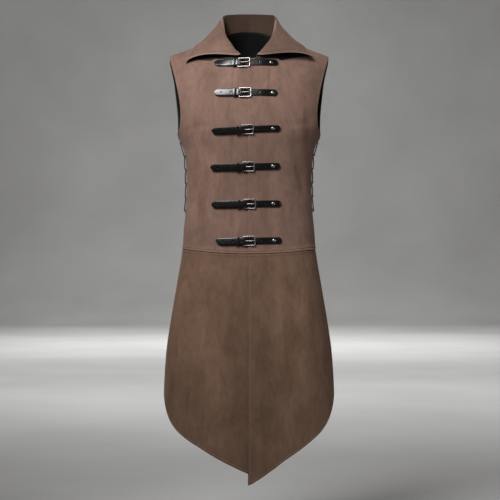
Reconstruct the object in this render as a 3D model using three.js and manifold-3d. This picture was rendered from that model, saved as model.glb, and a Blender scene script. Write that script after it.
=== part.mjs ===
// A man's long vest of brown faux suede, worn hollow: two lapped fronts and a back down to a waist
// seam, a front skirt in two lapped halves and a back skirt below it, a spread collar, six buckled
// straps down the front and a laced opening down each side.
// Millimetres, +Z up, the front faces -Y and the wearer's right is at -X. The origin is in the middle
// of the neck opening at the height of the shoulders, where the wearer carries the garment.
import * as THREE from "three";
import { mergeVertices } from "three/addons/utils/BufferGeometryUtils.js";
import Module from "manifold-3d";

const wasm = await Module();
wasm.setup();

// Driving dimensions.
const SEAM = 0.3; // gap between two pieces that are sewn together
const COLLAR_SEAM = 0.6; // the same at the neckline, whose edge is curved
const SUEDE = 2; // faux suede with its facing
const LINING = 1;
const COLLAR_PLY = 1.2;
const LAP_LIFT = SUEDE + 2 * SEAM; // the left front lies this far out, on top of the right one
const LAP_EDGE_X = -2.5; // the left front's edge, just past the centre
const LAP_HIDDEN_X = 22; // the right front ends here, under the left one
const LAP_FULL_X = 28; // up to here the left front is fully lifted
const LAP_GONE_X = 60; // from here on it lies on the figure again
const SECTION_POWER = 2.3; // 2 is an ellipse, more is squarer

// The figure inside the garment, from the neck down to the hem. half is half the width at the side
// line, front and back are the depths from that line, and side is where the line lies along Y.
const FIGURE = [
  { z: 110, half: 222, front: 50, back: 50, side: 10 },
  { z: 52, half: 221, front: 68, back: 63, side: 10 },
  { z: 0, half: 218, front: 90, back: 88, side: 10 },
  { z: -42, half: 214, front: 101, back: 99, side: 10 },
  { z: -100, half: 208, front: 118, back: 107, side: 7 },
  { z: -150, half: 199, front: 124, back: 111, side: 4 },
  { z: -195, half: 187, front: 123, back: 111, side: 1 },
  { z: -218, half: 178, front: 120, back: 109, side: 0 },
  { z: -250, half: 164, front: 116, back: 105, side: 0 },
  { z: -290, half: 158, front: 112, back: 98, side: 0 },
  { z: -350, half: 156.5, front: 107, back: 91, side: 0 },
  { z: -410, half: 159, front: 105, back: 92, side: 0 },
  { z: -450, half: 163, front: 106, back: 97, side: 0 },
  { z: -505, half: 167, front: 109, back: 105, side: 0 },
  { z: -590, half: 181, front: 116, back: 120, side: 0 },
  { z: -670, half: 194.5, front: 122, back: 128, side: 0 },
  { z: -750, half: 206, front: 127, back: 132, side: 0 },
  { z: -850, half: 212.5, front: 132, back: 135, side: 0 },
  { z: -960, half: 214, front: 136, back: 137, side: 0 },
  { z: -1080, half: 214, front: 139, back: 138, side: 0 },
];

// The shoulder: a straight seam from the neck to the tip, over which the cloth rounds.
const SHOULDER_TIP_X = 200;
const SHOULDER_TIP_Z = -16;
const SHOULDER_SLOPE = 0.36;
const NECK_X = 74; // where the shoulder seam meets the collar
const NECK_RISE = 60; // how much higher the figure's neck is than the line of the shoulders
const CROWN_FRONT = 110; // height over which the shoulder rounds into the front
const CROWN_BACK = 90;
const NECK_FRONT_Z = -32;
const NECK_BACK_Z = 52;
const NECKLINE_POWER = 2.2; // the neckline is flat at the centre and climbs towards the shoulder

// The armhole's edge, as half the width left of the front and of the back at each height.
const ARMHOLE = [
  { z: -16, front: 200, back: 200 },
  { z: -30, front: 197, back: 200 },
  { z: -43, front: 194, back: 197.5 },
  { z: -76, front: 186, back: 191 },
  { z: -109, front: 179, back: 187 },
  { z: -141, front: 173.5, back: 183.5 },
  { z: -165, front: 171, back: 181.5 },
  { z: -200, front: 171, back: 180 },
];
const ARMHOLE_TURN_Z = -196; // below this the edge turns in to the laced opening
const ARMHOLE_BOTTOM_Z = -218;

// The laced opening under each armhole, and its eyelets.
const LACED_TOP_HALF = 14; // half its width at the armhole
const LACED_END_HALF = 5; // half its width at the last pair of eyelets
const LACED_END_Z = -402;
const LACED_CLOSED_Z = -424; // from here down the side is sewn
const EYELET_LEVELS = 6;
const EYELET_TOP_Z = -230;
const EYELET_INSET = 12; // from the laced edge to an eyelet's middle
const EYELET_OUTER = 4.4;
const EYELET_INNER = 2.3;
const EYELET_HOLE = 2.6;
const EYELET_SEAT = 0.6; // it lies this far off the cloth
const EYELET_HEIGHT = 1.7;
const EYELET_CREST = 0.85; // its top is this share of its outer radius
const EYELET_LIP = 0.8; // and falls to this share of its height at the hole
const PUNCH_LENGTH = 12;
const CORD_RADIUS = 1.4;
const CORD_SIDES = 6;
const CORD_OVER = 3.5; // height of the cord's middle over the cloth as it turns into an eyelet
const CORD_ACROSS = 2.5; // and between the two eyelets
const CORD_UNDER = -4.6; // the same inside
const CORD_BEND = 0.6; // between the side line and an eyelet, the share where it starts to bend
const LINING_FREE_Y = 38; // the lining ends this far behind the side line along the lacing
const LINING_FREE_GAP = 3; // and this far under the armhole
const LINING_CUT_X = [100, 220]; // the cut that frees it reaches from the inner of these to the outer

// The waist seam and the skirts.
const WAIST_Z = -498;
const WAIST_DIP = 12; // the seam is this much lower at the centre front
const SLIT_TOP_Z = -600; // the side seam is open below this
const SLIT_HALF = 12;
const SLIT_FULL_Z = -850;

// The hem, by the angle round the figure from the centre: the wearer's left half and the back, and
// the right half, which hangs a little higher.
const HEM = [
  { angle: -12, left: -1068, right: -1051 },
  { angle: 0, left: -1068, right: -1042 },
  { angle: 22, left: -1034, right: -1017 },
  { angle: 34, left: -1010, right: -1000 },
  { angle: 45, left: -989, right: -981 },
  { angle: 55, left: -967, right: -963 },
  { angle: 64, left: -945, right: -943 },
  { angle: 72, left: -919, right: -919 },
  { angle: 79, left: -890, right: -890 },
  { angle: 88, left: -848, right: -848 },
];

// The broad folds of the fronts, each a soft ridge or, below 0, a trough between two points.
const FOLDS = [
  { fromX: -108, fromZ: -190, toX: -148, toZ: -430, width: 15, height: 3 },
  { fromX: -84, fromZ: -250, toX: -122, toZ: -430, width: 14, height: -2.5 },
  { fromX: 146, fromZ: -165, toX: 150, toZ: -260, width: 12, height: -3 },
  { fromX: 108, fromZ: -215, toX: 142, toZ: -370, width: 14, height: -3 },
  { fromX: -106, fromZ: -585, toX: -110, toZ: -745, width: 18, height: -4 },
  { fromX: 112, fromZ: -570, toX: 128, toZ: -800, width: 20, height: -3 },
];
const FOLD_END = 30; // a fold runs out over this length
const FOLD_SIDE = 30; // and over this width at the side seams

const COLLAR_START = 18; // the collar's front edges leave the neckline here, either side of the middle

// The collar, from the centre back round to the front edge. half is 1 behind the shoulder and -1 in
// front of it, seam is the place on the neckline as x, roll is the top of the fold, turn the sweep of
// the fold in degrees, reach how far the fall keeps on the way it leaves the fold, bow how much it
// bows up, edge its outer edge, and left how much higher that lies on the wearer's left.
const COLLAR = [
  { half: 1, seam: 0, roll: [0, 84, 101], turn: 150, reach: 6, bow: 0, edge: [0, 99, 40], left: 0 },
  { half: 1, seam: 36, roll: [38, 76, 100], turn: 148, reach: 6, bow: 0, edge: [58, 92, 34], left: 0 },
  { half: 1, seam: 62, roll: [62, 52, 93], turn: 142, reach: 6, bow: 0, edge: [98, 70, 20], left: 0 },
  { half: -1, seam: 74, roll: [62, 17, 68], turn: 132, reach: 8, bow: 0, edge: [122, 26, 15], left: 0 },
  { half: -1, seam: 68, roll: [58, -20, 40], turn: 126, reach: 10, bow: 0, edge: [131, 2, 12], left: 0 },
  { half: -1, seam: 54, roll: [50, -54, 12], turn: 118, reach: 12, bow: 5, edge: [140, -20, 1], left: 2 },
  { half: -1, seam: 40, roll: [38, -76, -6], turn: 104, reach: 14, bow: 13, edge: [149, -38, -19], left: 6 },
  { half: -1, seam: 18, roll: [21, -94, -20], turn: 70, reach: 16, bow: 28, edge: [158, -54, -37], left: 10 },
];
const BOW_PLACE = 0.65; // the fall bows most at this share of its width
const NECK_COLUMNS = 6; // columns of a bodice piece along its half of the neckline
const SHOULDER_COLUMNS = 5; // and from there to its side
const EDGE_CLOSING = 1.4; // above 1 these columns lie closer together towards the side
const ROLL_RADIUS = 5;
const ROLL_STEPS = 4;
const FALL_STEPS = 4;
const STAND_FOOT = 2.5; // the collar leaves the neckline straight for this far

// The closures, from the top down: the height of each strap at its rivet, how much lower its tip
// hangs, and along X its pointed tip, its round end, the buckle's outer bar, the rivet and the keeper.
const CLOSURES = [
  { z: -42, drop: 2, tip: -84, end: 70, bar: 1.5, rivet: 54, keeper: -36 },
  { z: -118, drop: 0, tip: -84, end: 69, bar: 4.5, rivet: 57.5, keeper: -35 },
  { z: -205, drop: 6, tip: -89, end: 76, bar: 10, rivet: 58, keeper: -28 },
  { z: -296, drop: 3, tip: -92, end: 76, bar: 12, rivet: 58, keeper: -28 },
  { z: -387, drop: 2, tip: -90, end: 78, bar: 15, rivet: 59, keeper: -26 },
  { z: -477, drop: 3, tip: -80, end: 80, bar: 14, rivet: 61, keeper: -28 },
];
const SEAT = 0.5; // applied pieces lie this far off the cloth
const STRAP_HALF = 8;
const STRAP_THICKNESS = 1.6;
const STRAP_TIP = 10; // length of the pointed tip
const STRAP_TIP_HALF = 2;
const STRAP_STEP = 8; // between its sections
const BUCKLE_SPAN = 28; // from the bar the buckle turns on to the outer bar
const BUCKLE_HALF = 11; // from its middle to the middle of its upper and lower bars
const BUCKLE_WIRE = 2.6;
const BUCKLE_THICKNESS = 2.2;
const HEEL_HEIGHT = 3.5; // height of the hinge bar over the right front, and of the outer bar
const BAR_HEIGHT = 6.4;
const OVER_HEEL = 7; // height of the strap's underside where it passes over the hinge bar
const TAIL_HEIGHT = 4; // and along the chape
const TAIL_RISE = [12, 4]; // it rises between these places before the hinge bar
const STRAP_FALL = [4, 22]; // and comes down to the cloth between these places past it
const ROUND_END = [0.5, 0.8, 0.97]; // sections round the strap's end, as shares of its half width
const PRONG_HALF = 1.1;
const PRONG_THICKNESS = 1.8;
const PRONG_PAST = 2.5; // the prong ends this far past the outer bar
const PRONG_SINK = 0.3; // it is set this far into the outer bar
const PRONG_DROP = 0.6; // and its tip lies this much lower than the bar's top
const LOOP_CLEAR = 1; // the flat of the prong and of the chape starts this far from the loop
const SLOT_MIDDLE = 12; // the strap's slot for the prong, from the hinge bar
const SLOT_LENGTH = 13;
const SLOT_CLEAR = 0.6;
const CHAPE_SHORT = 8; // the chape starts this far inside the strap's tip
const CHAPE_THICKNESS = 3;
const CHAPE_HOLE = 2.1; // radius of the loop round the hinge bar
const CHAPE_LOOP = 3.1;
const CHAPE_FLOOR = 0.8; // its slot for the prong leaves this much leather under it
const KEEPER_HALF = 3.5; // half its width along the strap
const KEEPER_THICKNESS = 1.4;
const KEEPER_CLEAR = 0.6;
const RIVET_RADIUS = 4.5;
const RIVET_HEIGHT = 2;
const RIVET_SHOULDER = 0.7; // the shoulder of its dome, as a share of both

const SUEDE_BROWN = { color: 0x7b5f52, roughness: 0.92, metalness: 0 };
const LINING_BLACK = { color: 0x141314, roughness: 0.85, metalness: 0 };
const PATENT_BLACK = { color: 0x17181a, roughness: 0.2, metalness: 0 };
const NICKEL = { color: 0xc9c9c6, roughness: 0.22, metalness: 1 };
const CORD_BLACK = { color: 0x151415, roughness: 0.7, metalness: 0 };

const FRONT = -1;
const BACK = 1;
const group = new THREE.Group();

const lerp = THREE.MathUtils.lerp;

// The value of one column of a table at z (or any other key), on a smooth curve through its rows.
function along(rows, key, column, at) {
  const sign = rows[1][key] > rows[0][key] ? 1 : -1;
  let i = 0;
  while (i < rows.length - 2 && (at - rows[i + 1][key]) * sign > 0) i += 1;
  const slope = (a, b) => (rows[b][column] - rows[a][column]) / (rows[b][key] - rows[a][key]);
  const last = rows.length - 1;
  const span = rows[i + 1][key] - rows[i][key];
  const t = THREE.MathUtils.clamp((at - rows[i][key]) / span, 0, 1);
  const start = slope(Math.max(i - 1, 0), i + 1) * span;
  const end = slope(i, Math.min(i + 2, last)) * span;
  const rise = rows[i + 1][column] - rows[i][column];
  return rows[i][column] + t * (start + t * (3 * rise - 2 * start - end + t * (start + end - 2 * rise)));
}

const figure = (column, z) => along(FIGURE, "z", column, z);

// The height of the shoulder line, or of the neck above it, at x.
function ridge(x) {
  const inward = Math.max(0, 1 - Math.abs(x) / NECK_X);
  return SHOULDER_TIP_Z + SHOULDER_SLOPE * (SHOULDER_TIP_X - Math.abs(x)) + NECK_RISE * inward;
}

// How much of the figure's full depth the cloth has at (x, z): none on the shoulder line, all of it
// once the shoulder has rounded into the front or the back.
function crown(side, x, z) {
  const below = (ridge(x) - z) / (side === FRONT ? CROWN_FRONT : CROWN_BACK);
  const t = THREE.MathUtils.clamp(below, 0, 1);
  return Math.sqrt(1 - (1 - t) ** 2);
}

// A point of the garment's outer face, by its angle from the centre front or back and its height.
function wrap(side, angle, z) {
  const half = figure("half", z);
  const depth = figure(side === FRONT ? "front" : "back", z);
  const across = Math.abs(Math.sin(angle)) / half;
  const deep = Math.abs(Math.cos(angle)) / depth;
  const reach = (across ** SECTION_POWER + deep ** SECTION_POWER) ** (-1 / SECTION_POWER);
  const x = reach * Math.sin(angle);
  const out = reach * Math.cos(angle) * crown(side, x, z) + SEAM / 2;
  return new THREE.Vector3(x, figure("side", z) + side * out, z);
}

// The angle at which the outer face lies at a given x, or at a given distance from the side line.
function angleAtX(side, x, z) {
  const half = figure("half", z);
  const depth = figure(side === FRONT ? "front" : "back", z);
  const share = Math.min(Math.abs(x) / half, 1);
  return Math.atan2(x, depth * (1 - share ** SECTION_POWER) ** (1 / SECTION_POWER));
}

function angleAtDistance(side, distance, z) {
  const half = figure("half", z);
  const depth = figure(side === FRONT ? "front" : "back", z);
  const share = Math.max(distance - SEAM / 2, 0) / depth;
  return Math.atan2(half * (1 - share ** SECTION_POWER) ** (1 / SECTION_POWER), depth * share);
}

// The outer face's place, its outward direction and its direction up the cloth.
function frameOn(side, angle, z) {
  const step = 0.01;
  const place = wrap(side, angle, z);
  const round = wrap(side, angle + step, z).sub(wrap(side, angle - step, z));
  const up = wrap(side, angle, z + 1).sub(wrap(side, angle, z - 1)).normalize();
  const out = new THREE.Vector3().crossVectors(round, up).normalize();
  if (side === BACK) out.negate();
  return { place, out, up };
}

const moved = (frame, out) => frame.place.clone().addScaledVector(frame.out, out);

// How far the left front stands off the right one.
const lapLift = (x) => LAP_LIFT * (1 - THREE.MathUtils.smoothstep(x, LAP_FULL_X, LAP_GONE_X));

// How far the folds push the cloth of the fronts out.
function folded(place) {
  const clear = THREE.MathUtils.smoothstep(figure("half", place.z) - Math.abs(place.x), 0, FOLD_SIDE);
  return FOLDS.reduce((sum, fold) => {
    const line = new THREE.Line3(
      new THREE.Vector3(fold.fromX, 0, fold.fromZ), new THREE.Vector3(fold.toX, 0, fold.toZ));
    const spot = new THREE.Vector3(place.x, 0, place.z);
    const fromStart = line.closestPointToPointParameter(spot, false) * line.distance();
    const nearest = line.closestPointToPoint(spot, false, new THREE.Vector3());
    const ends = THREE.MathUtils.smoothstep(fromStart, -FOLD_END, FOLD_END) *
      THREE.MathUtils.smoothstep(line.distance() - fromStart, -FOLD_END, FOLD_END);
    return sum + clear * ends * fold.height * Math.exp(-((nearest.distanceTo(spot) / fold.width) ** 2));
  }, 0);
}

// Edges of the pieces.
function lacedHalf(z) {
  const share = (z - ARMHOLE_BOTTOM_Z) / (LACED_END_Z - ARMHOLE_BOTTOM_Z);
  if (share < 1) return lerp(LACED_TOP_HALF, LACED_END_HALF, Math.max(share, 0));
  const closing = (z - LACED_END_Z) / (LACED_CLOSED_Z - LACED_END_Z);
  return lerp(LACED_END_HALF, SEAM / 2, Math.min(closing, 1));
}

// The side edge of a bodice piece: the laced opening, then the armhole, turning from one to the
// other at the armhole's foot.
function bodiceEdge(side, z, laced) {
  const column = side === FRONT ? "front" : "back";
  const low = angleAtDistance(side, laced(z), z);
  if (z <= ARMHOLE_BOTTOM_Z) return low;
  const high = angleAtX(side, along(ARMHOLE, "z", column, z), z);
  const turn = (z - ARMHOLE_BOTTOM_Z) / (ARMHOLE_TURN_Z - ARMHOLE_BOTTOM_Z);
  return lerp(low, high, Math.sin((Math.PI / 2) * Math.min(turn, 1)));
}

function skirtEdge(side, z) {
  const open = THREE.MathUtils.clamp((z - SLIT_TOP_Z) / (SLIT_FULL_Z - SLIT_TOP_Z), 0, 1);
  return angleAtDistance(side, lerp(SEAM / 2, SLIT_HALF, open), z);
}

function neckline(side, x) {
  const share = Math.min(Math.abs(x) / NECK_X, 1);
  const centre = side === FRONT ? NECK_FRONT_Z : NECK_BACK_Z;
  return lerp(centre, ridge(NECK_X), share ** NECKLINE_POWER);
}

const upperEdge = (side, x) => (Math.abs(x) < NECK_X ? neckline(side, x) : ridge(x));

function waist(side, x) {
  const share = Math.min(Math.abs(x) / figure("half", WAIST_Z), 1);
  return side === FRONT ? WAIST_Z - WAIST_DIP * (1 - share ** 2) : WAIST_Z;
}

// A piece of cloth on the figure. from and to give its edges as angles, foot and head its heights.
// The result gives the point of its outer face at (across, up), both from 0 to 1.
function pieceOn(side, from, to, foot, head) {
  const settle = (across, height, start) => {
    let z = start;
    for (let i = 0; i < 20; i += 1) z = height(lerp(from(z), to(z), across), z);
    return z;
  };
  return (across, up) => {
    const low = settle(across, foot, WAIST_Z);
    const high = settle(across, head, 0);
    const z = lerp(low, high, up);
    return wrap(side, lerp(from(z), to(z), across), z);
  };
}

// Solids.
function closedMesh(points, faces) {
  const geometry = new THREE.BufferGeometry();
  geometry.setAttribute("position", new THREE.Float32BufferAttribute(points.flatMap((p) => p.toArray()), 3));
  geometry.setIndex(faces);
  return geometry;
}

// A wall between two faces, each a grid of points with the same rows and columns.
function wallBetween(outer, inner) {
  const columns = outer.length;
  const rows = outer[0].length;
  const count = columns * rows;
  const points = [...outer.flat(), ...inner.flat()];
  const lastColumn = columns - 1;
  const at = (c, r) => c * rows + r;
  const faces = [];
  const quad = (a, b, c, d) => faces.push(a, b, c, a, c, d);
  for (let c = 0; c < lastColumn; c += 1) {
    for (let r = 0; r < rows - 1; r += 1) {
      quad(at(c, r), at(c + 1, r), at(c + 1, r + 1), at(c, r + 1));
      quad(count + at(c, r), count + at(c, r + 1), count + at(c + 1, r + 1), count + at(c + 1, r));
    }
    quad(at(c, 0), count + at(c, 0), count + at(c + 1, 0), at(c + 1, 0));
    quad(at(c + 1, rows - 1), count + at(c + 1, rows - 1), count + at(c, rows - 1), at(c, rows - 1));
  }
  for (let r = 0; r < rows - 1; r += 1) {
    quad(at(0, r + 1), count + at(0, r + 1), count + at(0, r), at(0, r));
    quad(at(lastColumn, r), count + at(lastColumn, r), count + at(lastColumn, r + 1), at(lastColumn, r + 1));
  }
  return closedMesh(points, faces);
}

// A wall of cloth on a face given as point(u, v): outside and inside say how far each of its two
// faces lies along the outward direction, and facing is a direction that points out at the middle.
function clothWall(point, us, vs, outside, inside, facing) {
  const step = 1e-4;
  const within = (t) => THREE.MathUtils.clamp(t, 0, 1);
  const normal = (u, v) => {
    const round = point(within(u + step), v).sub(point(within(u - step), v));
    const up = point(u, within(v + step)).sub(point(u, within(v - step)));
    return round.cross(up).normalize();
  };
  const turned = Math.sign(normal(0.5, 0.5).dot(facing(point(0.5, 0.5))));
  const face = (offset) => us.map((u) => vs.map((v) => {
    const place = point(u, v);
    return place.clone().addScaledVector(normal(u, v), turned * offset(place));
  }));
  const outer = face(outside);
  const inner = face(inside);
  return turned > 0 ? wallBetween(outer, inner) : wallBetween(inner, outer);
}

function solidOf(geometry) {
  const bare = geometry.clone();
  bare.deleteAttribute("normal");
  bare.deleteAttribute("uv");
  const merged = mergeVertices(bare, 1e-3);
  return new wasm.Manifold(new wasm.Mesh({
    numProp: 3,
    vertProperties: merged.attributes.position.array,
    triVerts: new Uint32Array(merged.index.array),
  }));
}

function geometryOf(solid) {
  const mesh = solid.getMesh();
  const geometry = new THREE.BufferGeometry();
  geometry.setAttribute("position", new THREE.BufferAttribute(mesh.vertProperties, 3));
  geometry.setIndex(new THREE.BufferAttribute(mesh.triVerts, 1));
  return geometry;
}

const cut = (geometry, tools) =>
  geometryOf(tools.reduce((solid, tool) => solid.subtract(solidOf(tool)), solidOf(geometry)));
const joined = (pieces) =>
  geometryOf(pieces.slice(1).reduce((solid, piece) => solid.add(solidOf(piece)), solidOf(pieces[0])));

function add(name, geometry, finish) {
  const flat = geometry.index ? geometry.toNonIndexed() : geometry;
  flat.computeVertexNormals();
  const mesh = new THREE.Mesh(flat, new THREE.MeshStandardMaterial(finish));
  mesh.name = name;
  group.add(mesh);
}

const evenly = (count, from = 0, to = 1) =>
  Array.from({ length: count + 1 }, (_, i) => lerp(from, to, i / count));
const awayFromAxis = (place) => new THREE.Vector3(place.x, place.y, 0);
const mirrored = (angle) => (z) => -angle(z);

// Rows up a bodice piece, by their heights at its side: one at each pair of eyelets, and closer under
// the armhole, where the figure draws in, and over the shoulder.
const BODICE_ROWS_Z = [
  -498, -450, -402, -367.6, -333.2, -298.8, -264.4, -241, -218,
  -210, -196, -168, -134, -98, -66, -42, -26, -16,
];
const bodiceRows = BODICE_ROWS_Z.map((z) => (z - WAIST_Z) / (SHOULDER_TIP_Z - WAIST_Z));

// Places along half of the neckline, as x: closer together where it runs up to the shoulder.
const neckPlaces = (start) =>
  evenly(NECK_COLUMNS, Math.asin(start / NECK_X), Math.PI / 2).map((t) => NECK_X * Math.sin(t));

// Columns across half of the garment: one starts where the collar does, and one ends where the
// neckline meets the shoulder seam.
function bodiceColumns(point, start, hand) {
  const columnAt = (x) => {
    let low = 0;
    let high = 1;
    for (let i = 0; i < 40; i += 1) {
      const middle = (low + high) / 2;
      if (hand * point(middle, 1).x < x) low = middle;
      else high = middle;
    }
    return low;
  };
  const neck = neckPlaces(start).map(columnAt);
  const closing = evenly(SHOULDER_COLUMNS).slice(1).map((t) => 1 - (1 - t) ** EDGE_CLOSING);
  return [...neck, ...closing.map((t) => lerp(neck[NECK_COLUMNS], 1, t))];
}

function eyeletPlace(side, level) {
  const z = lerp(EYELET_TOP_Z, LACED_END_Z, level / (EYELET_LEVELS - 1));
  return { angle: angleAtDistance(side, lacedHalf(z) + EYELET_INSET, z), z };
}

// A turned shape on the cloth: its axis stands on the outer face.
function standOn(geometry, frame) {
  const turn = new THREE.Quaternion().setFromUnitVectors(new THREE.Vector3(0, 1, 0), frame.out);
  return geometry.applyQuaternion(turn).translate(...frame.place.toArray());
}

function eyeletHoles(side, hands) {
  const tools = [];
  for (const hand of hands) {
    for (let level = 0; level < EYELET_LEVELS; level += 1) {
      const { angle, z } = eyeletPlace(side, level);
      const punch = new THREE.CylinderGeometry(EYELET_HOLE, EYELET_HOLE, PUNCH_LENGTH, 6);
      tools.push(standOn(punch, frameOn(side, hand * angle, z)));
    }
  }
  return tools;
}

// Fronts. hand is 1 for the wearer's left, at +X, and -1 for the right.
function front(hand) {
  const head = (angle, z) => upperEdge(FRONT, wrap(FRONT, angle, z).x);
  const foot = (angle, z) => waist(FRONT, wrap(FRONT, angle, z).x) + SEAM / 2;
  const centre = hand > 0 ? LAP_EDGE_X : LAP_HIDDEN_X;
  const point = pieceOn(
    FRONT,
    (z) => angleAtX(FRONT, centre, z),
    (z) => hand * bodiceEdge(FRONT, z, lacedHalf),
    foot,
    head,
  );
  const lift = (place) => (hand > 0 ? lapLift(place.x) : 0) + folded(place);
  const columns = bodiceColumns(point, COLLAR_START, hand);
  const lap = hand > 0 ? [0] : [0, columns[0] / 2];
  const wall = clothWall(
    point, [...lap, ...columns], bodiceRows, lift, (place) => lift(place) - SUEDE, awayFromAxis);
  const name = hand > 0 ? "front_bodice_left" : "front_bodice_right";
  add(name, cut(wall, eyeletHoles(FRONT, [hand])), SUEDE_BROWN);
}

// The back and its lining share one grid, so that the lining lies evenly inside the back.
function backAndLining() {
  const head = (angle, z) => upperEdge(BACK, wrap(BACK, angle, z).x);
  const foot = () => WAIST_Z + SEAM / 2;
  const edge = (z) => bodiceEdge(BACK, z, lacedHalf);
  const point = pieceOn(BACK, mirrored(edge), edge, foot, head);
  const half = bodiceColumns((across, up) => point(0.5 + across / 2, up), 0, 1);
  const right = half.map((t) => 0.5 + t / 2);
  const columns = [...right.slice(1).reverse().map((t) => 1 - t), ...right];
  const layer = (outside, thickness) =>
    clothWall(point, columns, bodiceRows, () => outside, () => outside - thickness, awayFromAxis);
  add("back_bodice", cut(layer(0, SUEDE), eyeletHoles(BACK, [1, -1])), SUEDE_BROWN);
  add("back_lining", cut(layer(-SUEDE - SEAM, LINING), [1, -1].map(lacedStrip)), LINING_BLACK);
}

// The lining is cut away behind the eyelets, clear of the lace's inner runs.
function lacedStrip(hand) {
  const [near, far] = LINING_CUT_X;
  const top = ARMHOLE_BOTTOM_Z - LINING_FREE_GAP;
  const strip = new THREE.BoxGeometry(far - near, 2 * LINING_FREE_Y, top - WAIST_Z);
  return strip.translate(hand * (near + far) / 2, 0, (top + WAIST_Z) / 2);
}

// Columns across a front skirt, or half of the back one: closer together at the open side.
const SKIRT_COLUMNS = [...evenly(8, 0, 0.9), 0.96, 1];
const SKIRT_ROWS = 9;

const hem = (column) => (angle) =>
  along(HEM, "angle", column, THREE.MathUtils.radToDeg(column === "right" ? -angle : Math.abs(angle)));

function frontSkirt(hand) {
  const head = (angle, z) => waist(FRONT, wrap(FRONT, angle, z).x) - SEAM / 2;
  const foot = hem(hand > 0 ? "left" : "right");
  const centre = hand > 0 ? LAP_EDGE_X : LAP_HIDDEN_X;
  const point = pieceOn(
    FRONT, (z) => angleAtX(FRONT, centre, z), (z) => hand * skirtEdge(FRONT, z), foot, head);
  const lift = (place) => (hand > 0 ? lapLift(place.x) : 0) + folded(place);
  const columns = SKIRT_COLUMNS;
  const wall = clothWall(
    point, columns, evenly(SKIRT_ROWS), lift, (place) => lift(place) - SUEDE, awayFromAxis);
  add(hand > 0 ? "front_skirt_left" : "front_skirt_right", wall, SUEDE_BROWN);
}

function backSkirt() {
  const head = () => WAIST_Z - SEAM / 2;
  const edge = (z) => skirtEdge(BACK, z);
  const point = pieceOn(BACK, mirrored(edge), edge, hem("left"), head);
  const half = SKIRT_COLUMNS.map((t) => 0.5 + t / 2);
  const columns = [...half.slice(1).reverse().map((t) => 1 - t), ...half];
  const wall = clothWall(point, columns, evenly(SKIRT_ROWS), () => 0, () => -SUEDE, awayFromAxis);
  add("back_skirt", wall, SUEDE_BROWN);
}

// Collar. A station is a line from the neckline up the stand, round the roll and down the fall. It
// starts at a column of the bodice, so that the seam is even.
function collarRow(half, x) {
  const shoulder = COLLAR.findIndex((row) => row.half === FRONT);
  let from = half === BACK ? 0 : shoulder;
  const last = (half === BACK ? shoulder : COLLAR.length - 1) - 1;
  while (from < last && (x - COLLAR[from + 1].seam) * half > 0) from += 1;
  const exact = from + (x - COLLAR[from].seam) / (COLLAR[from + 1].seam - COLLAR[from].seam);
  const value = (read) => along(COLLAR.map((row, i) => ({ i, value: read(row) })), "i", "value", exact);
  return {
    place: (column, hand) =>
      new THREE.Vector3(...[0, 1, 2].map((axis) => value((row) => row[column][axis]))).multiply(
        new THREE.Vector3(hand, 1, 1),
      ),
    size: (column) => value((row) => row[column]),
  };
}

function collarStation(half, x, hand) {
  const height = (at) => neckline(half, at);
  const on = (at) => frameOn(half, angleAtX(half, at, height(at)), height(at));
  const frame = on(hand * x);
  const alongNeck = on(hand * Math.min(x + 1, NECK_X)).place.sub(on(hand * (x - 1)).place);
  const away = new THREE.Vector3().crossVectors(alongNeck, frame.out).normalize();
  if (away.z < 0) away.negate();
  const middle = (half === FRONT && hand > 0 ? lapLift(x) : 0) - SUEDE / 2;
  const seam = moved(frame, middle).addScaledVector(away, COLLAR_SEAM);
  const foot = seam.clone().addScaledVector(away, STAND_FOOT);
  const row = collarRow(half, x);
  const roll = row.place("roll", hand);
  const edge = row.place("edge", hand);
  const rise = roll.clone().sub(foot).normalize();
  const turn = new THREE.Vector3().crossVectors(rise, alongNeck).normalize();
  if (turn.x * foot.x + turn.y * foot.y < 0) turn.negate();
  const centre = roll.clone().addScaledVector(rise, -ROLL_RADIUS).addScaledVector(turn, ROLL_RADIUS);
  const standTop = centre.clone().addScaledVector(turn, -ROLL_RADIUS);
  const points = [seam, foot, foot.clone().lerp(standTop, 0.5)];
  if (hand > 0) edge.z += row.size("left");
  const sweep = THREE.MathUtils.degToRad(row.size("turn"));
  for (const part of evenly(ROLL_STEPS)) {
    points.push(centre.clone()
      .addScaledVector(turn, -ROLL_RADIUS * Math.cos(part * sweep))
      .addScaledVector(rise, ROLL_RADIUS * Math.sin(part * sweep)));
  }
  const fallTop = points[points.length - 1];
  const onward = turn.clone().multiplyScalar(Math.sin(sweep)).addScaledVector(rise, Math.cos(sweep))
    .multiplyScalar(row.size("reach"));
  const bowed = fallTop.clone().lerp(edge, BOW_PLACE).add(onward);
  bowed.z += row.size("bow");
  const fall = new THREE.CubicBezierCurve3(fallTop, fallTop.clone().add(onward), bowed, edge);
  points.push(...fall.getPoints(FALL_STEPS).slice(1));
  return points;
}

function collar() {
  const half = (hand) => [
    ...neckPlaces(0).slice(0, -1).map((x) => collarStation(BACK, x, hand)),
    ...neckPlaces(COLLAR_START).reverse().map((x) => collarStation(FRONT, x, hand)),
  ];
  const grid = [...half(-1).slice(1).reverse(), ...half(1)];
  const lastC = grid.length - 1;
  const lastR = grid[0].length - 1;
  const at = (c, r) => grid[THREE.MathUtils.clamp(c, 0, lastC)][THREE.MathUtils.clamp(r, 0, lastR)];
  const outward = (c, r) => {
    const round = at(c + 1, r).clone().sub(at(c - 1, r));
    const up = at(c, r + 1).clone().sub(at(c, r - 1));
    return round.cross(up).normalize();
  };
  const face = (by) => grid.map((line, c) =>
    line.map((place, r) => place.clone().addScaledVector(outward(c, r), by)));
  const between = SEAM / 2;
  add("upper_collar", wallBetween(face(between + COLLAR_PLY), face(between)), SUEDE_BROWN);
  add("under_collar", wallBetween(face(-between), face(-between - COLLAR_PLY)), LINING_BLACK);
}

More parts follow.
